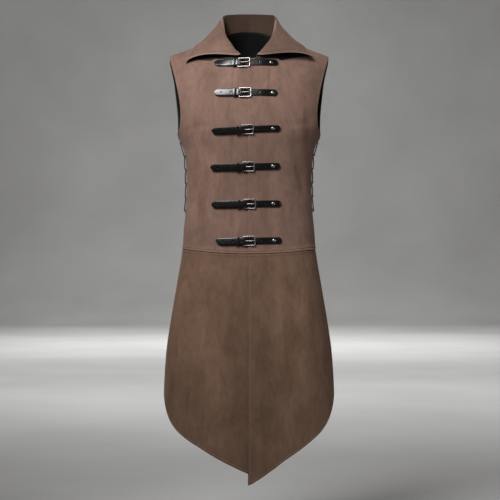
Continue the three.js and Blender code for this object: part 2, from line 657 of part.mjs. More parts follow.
// Closures. A strap is drawn flat, with x along it, y up the cloth and z off it, and then bent onto
// the front.
function bent(geometry, row) {
  const flat = geometry.clone();
  const spots = flat.getAttribute("position");
  for (let i = 0; i < spots.count; i += 1) {
    const x = spots.getX(i);
    const z = row.z - row.drop * THREE.MathUtils.clamp((row.rivet - x) / (row.rivet - row.tip), 0, 1);
    const frame = frameOn(FRONT, angleAtX(FRONT, x, z), z);
    const place = moved(frame, spots.getZ(i)).addScaledVector(frame.up, spots.getY(i));
    spots.setXYZ(i, place.x, place.y, place.z);
  }
  return flat;
}

// A flat block from one corner to the other.
function block(from, to) {
  const size = to.map((t, i) => t - from[i]);
  const middle = to.map((t, i) => (t + from[i]) / 2);
  return new THREE.BoxGeometry(...size).translate(...middle);
}

// A profile given as [x, height] round its edge, as wide as the strap.
function profileAcross(profile, half, holes = []) {
  const shape = new THREE.Shape(profile.map(([x, height]) => new THREE.Vector2(x, height)));
  shape.holes = holes;
  const solid = new THREE.ExtrudeGeometry(shape, { depth: 2 * half, bevelEnabled: false });
  return solid.translate(0, 0, -half).rotateX(Math.PI / 2);
}

// The strap's width and the height of its underside at x.
function strapHalf(row, x) {
  const fromTip = (x - row.tip) / STRAP_TIP;
  if (fromTip < 1) return lerp(STRAP_TIP_HALF, STRAP_HALF, fromTip);
  const past = Math.max(x - (row.end - STRAP_HALF), 0);
  return Math.max(Math.sqrt(STRAP_HALF ** 2 - past ** 2), STRAP_TIP_HALF);
}

function strapHeight(row, x) {
  const heel = row.bar - BUCKLE_SPAN;
  const ease = THREE.MathUtils.smoothstep;
  if (x > heel) {
    return lerp(OVER_HEEL, lapLift(x) + SEAT, ease(x, heel + STRAP_FALL[0], heel + STRAP_FALL[1]));
  }
  return lerp(TAIL_HEIGHT, OVER_HEEL, ease(x, heel - TAIL_RISE[0], heel - TAIL_RISE[1]));
}

function strap(row, number) {
  const steps = evenly(Math.round((row.end - row.tip - STRAP_TIP - STRAP_HALF) / STRAP_STEP),
    row.tip + STRAP_TIP, row.end - STRAP_HALF);
  const round = ROUND_END.map((share) => row.end - STRAP_HALF + share * STRAP_HALF);
  const stations = [row.tip, ...steps, ...round];
  const face = (thickness) => stations.map((x) => [-1, 1].map((edge) =>
    new THREE.Vector3(x, edge * strapHalf(row, x), strapHeight(row, x) + thickness)));
  const heel = row.bar - BUCKLE_SPAN;
  const slotHalf = PRONG_HALF + SLOT_CLEAR;
  const slot = block(
    [heel + SLOT_MIDDLE - SLOT_LENGTH / 2, -slotHalf, 0],
    [heel + SLOT_MIDDLE + SLOT_LENGTH / 2, slotHalf, 2 * OVER_HEEL],
  );
  const flat = cut(wallBetween(face(STRAP_THICKNESS), face(0)), [slot]);
  add("strap_" + number, bent(flat, row), PATENT_BLACK);
}

// The chape: a doubled strap sewn to the right front, looped round the hinge bar, with the keeper.
function chape(row, number) {
  const heel = row.bar - BUCKLE_SPAN;
  const start = row.tip + CHAPE_SHORT;
  const top = SEAT + CHAPE_THICKNESS;
  const lower = evenly(5, start, heel).map((x) => [x, SEAT]);
  const round = evenly(6, -Math.PI / 2, Math.PI / 2).slice(1).map((t) =>
    [heel + CHAPE_LOOP * Math.cos(t), HEEL_HEIGHT + CHAPE_LOOP * Math.sin(t)]);
  const upper = evenly(4, heel - CHAPE_LOOP - LOOP_CLEAR, start).map((x) => [x, top]);
  const hole = new THREE.Path();
  hole.setFromPoints(evenly(8, 0, 2 * Math.PI).slice(0, -1).map((t) =>
    new THREE.Vector2(heel + CHAPE_HOLE * Math.cos(t), HEEL_HEIGHT + CHAPE_HOLE * Math.sin(t))));
  const body = profileAcross([...lower, ...round, ...upper], STRAP_HALF, [hole]);
  const slotHalf = PRONG_HALF + SLOT_CLEAR;
  const slot = block(
    [heel - CHAPE_LOOP, -slotHalf, SEAT + CHAPE_FLOOR],
    [heel + 2 * CHAPE_LOOP, slotHalf, OVER_HEEL + CHAPE_LOOP],
  );
  const inside = strapHeight(row, row.keeper + KEEPER_HALF) + STRAP_THICKNESS + KEEPER_CLEAR;
  const inner = STRAP_HALF + KEEPER_CLEAR;
  const ring = block(
    [row.keeper - KEEPER_HALF, -inner - KEEPER_THICKNESS, SEAT],
    [row.keeper + KEEPER_HALF, inner + KEEPER_THICKNESS, inside + KEEPER_THICKNESS],
  );
  const through = block(
    [row.keeper - 2 * KEEPER_HALF, -inner, top],
    [row.keeper + 2 * KEEPER_HALF, inner, inside],
  );
  const keeper = cut(ring, [through]);
  add("chape_" + number, bent(joined([cut(body, [slot]), keeper]), row), PATENT_BLACK);
}

// The buckle: a frame of flat wire, tilted up from its hinge bar to its outer bar, and the prong.
function buckle(row, number) {
  const wire = BUCKLE_WIRE / 2;
  const corner = (far, wide, cornerCut) => [
    [-far, -wide + cornerCut], [-far + cornerCut, -wide],
    [BUCKLE_SPAN + far - cornerCut, -wide], [BUCKLE_SPAN + far, -wide + cornerCut],
    [BUCKLE_SPAN + far, wide - cornerCut], [BUCKLE_SPAN + far - cornerCut, wide],
    [-far + cornerCut, wide], [-far, wide - cornerCut],
  ].map(([x, y]) => new THREE.Vector2(x, y));
  const outline = new THREE.Shape(corner(wire, BUCKLE_HALF + wire, 2 * wire));
  outline.holes = [new THREE.Path(corner(-wire, BUCKLE_HALF - wire, wire))];
  const frame = new THREE.ExtrudeGeometry(outline, { depth: BUCKLE_THICKNESS, bevelEnabled: false });
  frame.translate(0, 0, -BUCKLE_THICKNESS / 2);
  const climb = BAR_HEIGHT - HEEL_HEIGHT;
  const tilt = Math.asin(climb / BUCKLE_SPAN);
  frame.rotateY(-tilt).translate(row.bar - BUCKLE_SPAN * Math.cos(tilt), 0, HEEL_HEIGHT);
  const heel = row.bar - BUCKLE_SPAN;
  const low = HEEL_HEIGHT;
  const high = BAR_HEIGHT + BUCKLE_THICKNESS / 2;
  const end = row.bar + PRONG_PAST;
  const prong = profileAcross([
    [heel - wire, low - wire], [heel + wire, low - wire], [heel + wire + LOOP_CLEAR, low],
    [row.bar, high - PRONG_SINK], [end, high - PRONG_DROP],
    [end, high - PRONG_DROP + PRONG_THICKNESS / 2], [row.bar, high + PRONG_THICKNESS - PRONG_SINK],
    [heel, low + PRONG_THICKNESS], [heel - wire, low + wire],
  ], PRONG_HALF);
  add("buckle_" + number, bent(joined([frame, prong]), row), NICKEL);
}

function rivet(row, number) {
  const base = strapHeight(row, row.rivet) + STRAP_THICKNESS + SEAM;
  const dome = new THREE.LatheGeometry([
    [0, 0], [RIVET_RADIUS, 0], [RIVET_SHOULDER * RIVET_RADIUS, RIVET_SHOULDER * RIVET_HEIGHT],
    [0, RIVET_HEIGHT],
  ].map(([radius, height]) => new THREE.Vector2(radius, height)), 10);
  dome.rotateX(Math.PI / 2).translate(row.rivet, 0, base);
  add("rivet_" + number, bent(dome, row), NICKEL);
}

// Lacing.
function eyelet(name, frame) {
  const profile = [
    [EYELET_INNER, EYELET_SEAT], [EYELET_OUTER, EYELET_SEAT],
    [EYELET_CREST * EYELET_OUTER, EYELET_HEIGHT], [EYELET_INNER, EYELET_LIP * EYELET_HEIGHT],
    [EYELET_INNER, EYELET_SEAT],
  ].map(([radius, height]) => new THREE.Vector2(radius, height));
  add(name, standOn(new THREE.LatheGeometry(profile, 8), frame), NICKEL);
}

// A path through given points, one section of the cord at each.
class CordPath extends THREE.Curve {
  constructor(points) {
    super();
    this.points = points;
  }

  getPoint(t) {
    return this.points[Math.round(t * (this.points.length - 1))].clone();
  }

  getPointAt(t) {
    return this.getPoint(t);
  }

  getTangentAt(t) {
    const step = 1 / (this.points.length - 1);
    return this.getPoint(Math.min(t + step, 1)).sub(this.getPoint(Math.max(t - step, 0))).normalize();
  }
}

// One cord a side. It starts inside at the top front eyelet and crosses inside to the back, then runs
// down outside from each back eyelet to the next front one and inside straight back.
function lace(hand) {
  const cordPlace = (distance, z, height) => {
    const side = distance < 0 ? BACK : FRONT;
    return moved(frameOn(side, hand * angleAtDistance(side, Math.abs(distance), z), z), height);
  };
  const levelZ = (level) => eyeletPlace(FRONT, level).z;
  const reach = (z) => lacedHalf(z) + EYELET_INSET;
  const through = [CORD_UNDER, -SUEDE - CORD_RADIUS / 2, CORD_RADIUS, CORD_OVER];
  const points = [];
  for (let level = 0; level < EYELET_LEVELS; level += 1) {
    const z = levelZ(level);
    for (const share of [CORD_BEND, 0, -CORD_BEND]) {
      points.push(cordPlace(share * reach(z), z, CORD_UNDER));
    }
    if (level === EYELET_LEVELS - 1) break;
    for (const height of through) points.push(cordPlace(-reach(z), z, height));
    const next = levelZ(level + 1);
    for (const share of [-CORD_BEND, 0, CORD_BEND]) {
      const at = lerp(z, next, (share + 1) / 2);
      points.push(cordPlace(share * reach(at), at, CORD_ACROSS));
    }
    for (const height of [...through].reverse()) points.push(cordPlace(reach(next), next, height));
  }
  const section = new THREE.Shape(evenly(CORD_SIDES, 0, 2 * Math.PI).slice(0, -1).map((t) =>
    new THREE.Vector2(CORD_RADIUS * Math.cos(t), CORD_RADIUS * Math.sin(t))));
  const cord = new THREE.ExtrudeGeometry(section, {
    steps: points.length - 1,
    extrudePath: new CordPath(points),
  });
  add(hand > 0 ? "lace_left" : "lace_right", cord, CORD_BLACK);
}

front(-1);
front(1);
backAndLining();
frontSkirt(-1);
frontSkirt(1);
backSkirt();
collar();
CLOSURES.forEach((row, i) => {
  strap(row, i + 1);
  chape(row, i + 1);
  buckle(row, i + 1);
  rivet(row, i + 1);
});
for (const hand of [-1, 1]) {
  const wearers = hand > 0 ? "left" : "right";
  for (const side of [FRONT, BACK]) {
    for (let level = 0; level < EYELET_LEVELS; level += 1) {
      const { angle, z } = eyeletPlace(side, level);
      const name = ["eyelet", wearers, side === FRONT ? "front" : "back", level + 1].join("_");
      eyelet(name, frameOn(side, hand * angle, z));
    }
  }
  lace(hand);
}

export default group;
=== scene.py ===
import collections
import math

import bpy
import numpy as np
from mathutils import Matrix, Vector
from mathutils.bvhtree import BVHTree
from mathutils.kdtree import KDTree


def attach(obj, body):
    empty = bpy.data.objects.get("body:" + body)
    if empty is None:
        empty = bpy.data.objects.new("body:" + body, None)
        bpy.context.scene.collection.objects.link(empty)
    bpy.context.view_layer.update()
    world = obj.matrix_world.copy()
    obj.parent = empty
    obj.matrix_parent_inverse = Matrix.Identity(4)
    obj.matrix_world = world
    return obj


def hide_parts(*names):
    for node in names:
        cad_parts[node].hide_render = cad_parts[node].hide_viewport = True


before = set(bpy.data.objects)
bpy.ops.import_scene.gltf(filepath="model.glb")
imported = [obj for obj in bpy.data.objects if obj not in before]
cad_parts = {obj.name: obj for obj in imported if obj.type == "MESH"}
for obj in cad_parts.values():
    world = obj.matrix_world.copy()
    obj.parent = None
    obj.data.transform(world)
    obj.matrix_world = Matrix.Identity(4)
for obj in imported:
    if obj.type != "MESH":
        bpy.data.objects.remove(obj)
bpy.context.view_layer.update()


# ---------------------------------------------------------------------------------------------
# The back. One panel of brown faux suede from the shoulders to the waist seam, cut to the shape of
# a general figure and sewn to the fronts at the shoulders and at the foot of the sides.
# Metres, +Z up, the front faces -Y; the sections of the figure are superellipses.
MM = 0.001

# height, half the width, depth in front of the side line, depth behind it, the side line's Y
FIGURE = np.array([
    (110, 222, 50, 50, 10),
    (52, 221, 68, 63, 10),
    (0, 218, 90, 88, 10),
    (-42, 214, 101, 99, 10),
    (-100, 208, 118, 107, 7),
    (-150, 199, 124, 111, 4),
    (-195, 187, 123, 111, 1),
    (-218, 178, 120, 109, 0),
    (-250, 164, 116, 105, 0),
    (-290, 158, 112, 98, 0),
    (-350, 156.5, 107, 91, 0),
    (-410, 159, 105, 92, 0),
    (-450, 163, 106, 97, 0),
    (-505, 167, 109, 105, 0),
    (-590, 181, 116, 120, 0),
    (-670, 194.5, 122, 128, 0),
    (-750, 206, 127, 132, 0),
    (-850, 212.5, 132, 135, 0),
    (-960, 214, 136, 137, 0),
    (-1080, 214, 139, 138, 0),
]) * MM
FIGURE_Z, HALF_WIDTH, FRONT_DEPTH, BACK_DEPTH, SIDE_LINE = FIGURE.T
SECTION_POWER = 2.3
FRONT, BACK = -1, 1
SEAM = 0.3 * MM
SUEDE = 2.0 * MM

# The shoulder seam, straight from the neck to the tip, and the round of cloth on either side of it.
SHOULDER_TIP_X = 200 * MM
SHOULDER_TIP_Z = -16 * MM
SHOULDER_SLOPE = 0.36
NECK_X = 74 * MM
NECK_RISE = 60 * MM
CROWN = {FRONT: 110 * MM, BACK: 90 * MM}
NECK_CENTRE_Z = {FRONT: -32 * MM, BACK: 52 * MM}
NECKLINE_POWER = 2.2

# height, half the width left of the front, of the back
ARMHOLE = np.array([
    (-16, 200, 200),
    (-30, 197, 200),
    (-43, 193, 197.5),
    (-76, 184, 191),
    (-109, 176.5, 187),
    (-141, 171, 183.5),
    (-165, 169, 181.5),
    (-200, 171, 180),
]) * MM
ARMHOLE_TURN_Z = -196 * MM
ARMHOLE_BOTTOM_Z = -218 * MM

# The laced opening under each armhole: half its width, its eyelets, and the waist seam below it.
LACED_TOP_HALF = 14 * MM
LACED_END_HALF = 5 * MM
LACED_END_Z = -402 * MM
LACED_CLOSED_Z = -424 * MM
EYELET_LEVELS = 6
EYELET_TOP_Z = -230 * MM
EYELET_STEP_Z = (LACED_END_Z - EYELET_TOP_Z) / (EYELET_LEVELS - 1)
EYELET_INSET = 12 * MM
WAIST_Z = -498 * MM
WAIST_DIP = 12 * MM


def curve_through(marks, values, at):
    """The smooth curve that a cutter draws through a table's marks."""
    sign = 1 if marks[1] > marks[0] else -1
    last = len(marks) - 1
    i = np.clip(np.searchsorted(sign * marks, sign * at) - 1, 0, last - 1)
    before, after = np.maximum(i - 1, 0), np.minimum(i + 2, last)
    span = marks[i + 1] - marks[i]
    t = np.clip((at - marks[i]) / span, 0, 1)
    start = (values[i + 1] - values[before]) / (marks[i + 1] - marks[before]) * span
    end = (values[after] - values[i]) / (marks[after] - marks[i]) * span
    rise = values[i + 1] - values[i]
    return values[i] + t * (start + t * (3 * rise - 2 * start - end + t * (start + end - 2 * rise)))


def smoothstep(t):
    t = np.clip(t, 0, 1)
    return t * t * (3 - 2 * t)


def half_and_depth(side, z):
    depth = FRONT_DEPTH if side == FRONT else BACK_DEPTH
    return curve_through(FIGURE_Z, HALF_WIDTH, z), curve_through(FIGURE_Z, depth, z)


def shoulder_line(x):
    inward = np.maximum(0, 1 - np.abs(x) / NECK_X)
    return SHOULDER_TIP_Z + SHOULDER_SLOPE * (SHOULDER_TIP_X - np.abs(x)) + NECK_RISE * inward


def on_figure(side, angle, z):
    """Points of the cloth's outer face, by the angle from the centre front or back and the height."""
    half, depth = half_and_depth(side, z)
    across, deep = np.abs(np.sin(angle)) / half, np.abs(np.cos(angle)) / depth
    reach = (across ** SECTION_POWER + deep ** SECTION_POWER) ** (-1 / SECTION_POWER)
    x = reach * np.sin(angle)
    down = np.clip((shoulder_line(x) - z) / CROWN[side], 0, 1)
    out = reach * np.cos(angle) * np.sqrt(1 - (1 - down) ** 2) + SEAM / 2
    return np.stack([x, curve_through(FIGURE_Z, SIDE_LINE, z) + side * out, z + 0 * x], axis=-1)


def angle_at_x(side, x, z):
    half, depth = half_and_depth(side, z)
    share = np.minimum(np.abs(x) / half, 1)
    return np.arctan2(x, depth * (1 - share ** SECTION_POWER) ** (1 / SECTION_POWER))


def angle_at_distance(side, distance, z):
    """The angle at which the cloth lies at a distance from the side line."""
    half, depth = half_and_depth(side, z)
    share = np.maximum(distance - SEAM / 2, 0) / depth
    return np.arctan2(half * (1 - share ** SECTION_POWER) ** (1 / SECTION_POWER), depth * share)


def laced_half(z):
    share = np.clip((z - ARMHOLE_BOTTOM_Z) / (LACED_END_Z - ARMHOLE_BOTTOM_Z), 0, 1)
    closing = np.clip((z - LACED_END_Z) / (LACED_CLOSED_Z - LACED_END_Z), 0, 1)
    laced = LACED_TOP_HALF + (LACED_END_HALF - LACED_TOP_HALF) * share
    return np.where(closing > 0, LACED_END_HALF + (SEAM / 2 - LACED_END_HALF) * closing, laced)


def bodice_edge(side, z):
    """The side of a bodice panel: the laced edge, then the armhole."""
    low = angle_at_distance(side, laced_half(z), z)
    width = curve_through(ARMHOLE[:, 0], ARMHOLE[:, 1 if side == FRONT else 2], z)
    high = angle_at_x(side, width, z)
    turn = np.clip((z - ARMHOLE_BOTTOM_Z) / (ARMHOLE_TURN_Z - ARMHOLE_BOTTOM_Z), 0, 1)
    return low + (high - low) * np.sin(math.pi / 2 * turn)


def neckline_height(side, x):
    """The neckline, flat at the centre and climbing to the shoulder seam."""
    share = np.minimum(np.abs(x) / NECK_X, 1)
    centre = NECK_CENTRE_Z[side]
    return centre + (shoulder_line(NECK_X) - centre) * share ** NECKLINE_POWER


def upper_edge(side, angle, z):
    """The neckline, then the shoulder seam."""
    x = on_figure(side, angle, z)[..., 0]
    return np.where(np.abs(x) < NECK_X, neckline_height(side, x), shoulder_line(x))


def waist_seam(side, angle, z):
    x = on_figure(side, angle, z)[..., 0]
    share = np.minimum(np.abs(x) / half_and_depth(side, np.array(WAIST_Z))[0], 1)
    return WAIST_Z - (WAIST_DIP * (1 - share ** 2) if side == FRONT else 0)


def over_waist(side, angle, z):
    return waist_seam(side, angle, z) + SEAM / 2


# A panel is worked out on a fine grid, and then given a coarser one with lines close to its edges.
FINE_ACROSS = 420
FINE_UP = 620
SETTLE_PASSES = 24
EDGE_MARGINS = np.array((0, 0.7, 1.5, 2.6, 4.2, 6, 7.8, 10)) * MM
CLOTH_STEP = 3.8 * MM


def cut_panel(side, left, right, foot, head, crowded=1.0):
    """A panel on the figure as a fine grid of points. left and right give its edges as angles, and
    the lines of a crowded one lie closer towards its head."""
    across = np.linspace(0, 1, FINE_ACROSS)
    up = 1 - (1 - np.linspace(0, 1, FINE_UP)) ** crowded

    def settled(height, start):
        z = np.full(FINE_ACROSS, start)
        for _ in range(SETTLE_PASSES):
            z = height(side, left(z) + (right(z) - left(z)) * across, z) * np.ones(FINE_ACROSS)
        return z

    low, high = settled(foot, WAIST_Z), settled(head, 0.0)
    z = low[:, None] + (high - low)[:, None] * up
    return on_figure(side, left(z) + (right(z) - left(z)) * across[:, None], z)


def walked(grid):
    """The length up to each point of a line, or of the lines along a grid's first axis."""
    steps = np.linalg.norm(np.diff(grid, axis=0), axis=-1)
    return np.concatenate([np.zeros_like(steps[:1]), np.cumsum(steps, axis=0)])


def respaced(grid, axis, step):
    """The grid with its lines an even step apart over the cloth, and closer at the edges."""
    grid = np.moveaxis(grid, axis, 0)
    along = walked(grid)
    margin = EDGE_MARGINS[-1]
    count = int(math.ceil((along[-1].max() - 2 * margin) / step))
    even = np.linspace(0, 1, count + 1)[1:-1]
    lines = []
    for j in range(grid.shape[1]):
        length = along[-1, j]
        middle = margin + (length - 2 * margin) * even
        at = np.concatenate([EDGE_MARGINS, middle, length - EDGE_MARGINS[::-1]])
        lines.append(np.stack([np.interp(at, along[:, j], grid[:, j, k]) for k in range(3)], axis=1))
    return np.moveaxis(np.stack(lines, axis=1), 0, axis)


def evened(grid, step):
    return respaced(respaced(grid, 1, step), 0, step)


def wound(grid):
    """The direction across each point of a grid, by the way the grid winds."""
    normal = np.cross(np.gradient(grid, axis=0), np.gradient(grid, axis=1))
    return normal / np.maximum(np.linalg.norm(normal, axis=2, keepdims=True), 1e-12)


def outward(grid):
    """The direction out of the garment at each point, and 1 or -1 for the way the grid winds."""
    normal = wound(grid)
    middle = tuple(n // 2 for n in grid.shape[:2])
    sign = np.sign(normal[middle] @ (grid[middle] * (1, 1, 0)))
    return normal * sign, sign


def rim(grid):
    """The points round a grid's edge, in order."""
    return np.concatenate([grid[:-1, 0], grid[-1, :-1], grid[:0:-1, -1], grid[0, :0:-1]])


MARK_SPACING = 0.5 * MM
FAR = 30 * MM


def marked_out(line, spacing):
    """Points an even spacing apart along a line."""
    along = walked(line)
    at = np.arange(0, along[-1], spacing)
    return np.stack([np.interp(at, along, line[:, k]) for k in range(3)], axis=1)


def point_tree(points):
    tree = KDTree(len(points))
    for i, point in enumerate(points):
        tree.insert(point, i)
    tree.balance()
    return tree


def distance_to(line, grid):
    """How far each point of a grid lies from a line, up to FAR."""
    marks = marked_out(line, MARK_SPACING)
    tree = point_tree(marks)
    points = grid.reshape(-1, 3)
    found = np.full(len(points), FAR)
    low, high = marks.min(axis=0) - FAR, marks.max(axis=0) + FAR
    for i in np.nonzero(((points > low) & (points < high)).all(axis=1))[0]:
        found[i] = min(tree.find(points[i])[2], FAR)
    return found.reshape(grid.shape[:2])


WAVE_COUNT = 9


def waves(points, size, seed):
    """A slow unevenness from -1 to 1 with humps about size across, the same in every run."""
    chance = np.random.default_rng(seed)
    total = np.zeros(points.shape[:-1])
    for _ in range(WAVE_COUNT):
        way = chance.normal(size=3)
        way *= 2 * math.pi / (np.linalg.norm(way) * size * chance.uniform(1.5, 3.2))
        total += np.sin(points @ way + chance.uniform(0, 2 * math.pi))
    return total / 5


# How the flat cloth lies once it is sewn: its edges are turned under, so they round away, and it is
# never quite even. The humps are given by their size across and the seed of their places.
TURNED_EDGE = 0.9 * MM
TURN_WIDTH = 1.3 * MM
UNEVEN_DEPTH = 1.1 * MM
UNEVEN_FROM_EDGE = 12 * MM
BROAD_HUMPS = (70 * MM, 3)
BROAD_SHARE = 0.65
SMALL_HUMPS = (24 * MM, 8)
SMALL_SHARE = 0.35


def shaped(grid, lift=0.0):
    """Moves a grid of the cloth's outer face off the figure by lift, and gives its rim distances."""
    normal, sign = outward(grid)
    edge = distance_to(rim(grid), grid)
    rounded = TURNED_EDGE * np.exp(-(edge / TURN_WIDTH) ** 2)
    uneven = BROAD_SHARE * waves(grid, *BROAD_HUMPS) + SMALL_SHARE * waves(grid, *SMALL_HUMPS)
    hollow = UNEVEN_DEPTH * (0.5 + 0.5 * np.clip(uneven, -1, 1))
    sunk = hollow * smoothstep(edge / UNEVEN_FROM_EDGE)
    return grid + normal * (lift - rounded - sunk)[..., None], edge, sign


def placed(name, data):
    piece = bpy.data.objects.new(name, data)
    bpy.context.collection.objects.link(piece)
    return piece


def deselect_all():
    for other in bpy.context.selected_objects:
        other.select_set(False)


def select_only(piece):
    deselect_all()
    piece.select_set(True)
    bpy.context.view_layer.objects.active = piece


def apply_all(piece):
    select_only(piece)
    for modifier in list(piece.modifiers):
        bpy.ops.object.modifier_apply(modifier=modifier.name)


def point_values(mesh, name, values):
    """Gives each point of a mesh a number that its material reads."""
    attribute = mesh.attributes.new(name, "FLOAT", "POINT")
    attribute.data.foreach_set("value", np.asarray(values, dtype=np.float32).reshape(-1))


TURNED_SHARE = 0.3
SHARP_ANGLE = math.radians(60)
SMOOTH_ANGLE = math.radians(50)


def sewn_shell(name, grid, edge, sign, thickness, faces, bound=False):
    """A thin shell of cloth: the grid is its outer face, and edge how far each point is from the rim.
    faces holds its outer and inner material, and a bound shell has the inner one over its edges too."""
    columns, rows = grid.shape[:2]
    at = np.arange(columns * rows).reshape(columns, rows)
    quads = np.stack([at[:-1, :-1], at[1:, :-1], at[1:, 1:], at[:-1, 1:]], axis=-1).reshape(-1, 4)
    if sign < 0:
        quads = quads[:, ::-1]
    mesh = bpy.data.meshes.new(name)
    mesh.from_pydata(grid.reshape(-1, 3).tolist(), [], quads.tolist())
    point_values(mesh, "from_edge", edge)
    across = walked(grid)
    up = walked(np.moveaxis(grid, 1, 0)).T
    weft_warp = np.stack([across - across[columns // 2 + 1], up], axis=-1).reshape(-1, 2)
    loops = np.empty(len(mesh.loops), dtype=np.int32)
    mesh.loops.foreach_get("vertex_index", loops)
    mesh.uv_layers.new(name="cloth").data.foreach_set("uv", weft_warp[loops].astype(np.float32).ravel())
    for finish in faces:
        mesh.materials.append(finish)
    piece = placed(name, mesh)
    wall = piece.modifiers.new("wall", "SOLIDIFY")
    wall.thickness = thickness
    wall.offset = -1
    wall.material_offset = 1 if len(faces) > 1 else 0
    wall.material_offset_rim = 1 if bound else 0
    turned = piece.modifiers.new("turned edge", "BEVEL")
    turned.width = TURNED_SHARE * thickness
    turned.segments = 2
    turned.limit_method = "ANGLE"
    turned.angle_limit = SHARP_ANGLE
    apply_all(piece)
    bpy.ops.object.shade_smooth_by_angle(angle=SMOOTH_ANGLE)
    return piece


def linear(colour):
    """An sRGB hex value as the linear colour that a shader takes."""
    parts = [int(colour[i:i + 2], 16) / 255 for i in (1, 3, 5)]
    return tuple(c / 12.92 if c <= 0.04045 else ((c + 0.055) / 1.055) ** 2.4 for c in parts) + (1,)


def add_node(tree, kind, settings=(), links=()):
    """Adds a node, sets its fields and sockets, and links sockets to other nodes' outputs."""
    made = tree.nodes.new(kind)
    for name, value in dict(settings).items():
        if isinstance(name, int) or name in made.inputs:
            made.inputs[name].default_value = value
        else:
            setattr(made, name, value)
    for socket, source in dict(links).items():
        tree.links.new(source, made.inputs[socket])
    return made


def new_material(name, settings):
    """A material with one Principled shader, whose constant values are set on its sockets."""
    material = bpy.data.materials.new(name)
    material.use_nodes = True
    tree = material.node_tree
    shader = tree.nodes["Principled BSDF"]
    for socket, value in settings.items():
        shader.inputs[socket].default_value = value
    return material, tree, shader


def colour_steps(tree, source, steps):
    """A colour ramp with a hex colour at each given place."""
    ramp = add_node(tree, "ShaderNodeValToRGB", links={"Fac": source})
    elements = ramp.color_ramp.elements
    while len(elements) < len(steps):
        elements.new(0.5)
    for element, (place, colour) in zip(elements, steps):
        element.position = place
        element.color = linear(colour)
    return ramp.outputs["Color"]


STITCH_MARGIN = 6 * MM
CHANNEL_HALF = 1.1 * MM
# The painted shade down the middle of the fronts: half its width, and the heights between which it starts.
MIDDLE_SHADE_HALF = 110 * MM
MIDDLE_SHADE_FROM_Z = -120 * MM
MIDDLE_SHADE_FULL_Z = -260 * MM


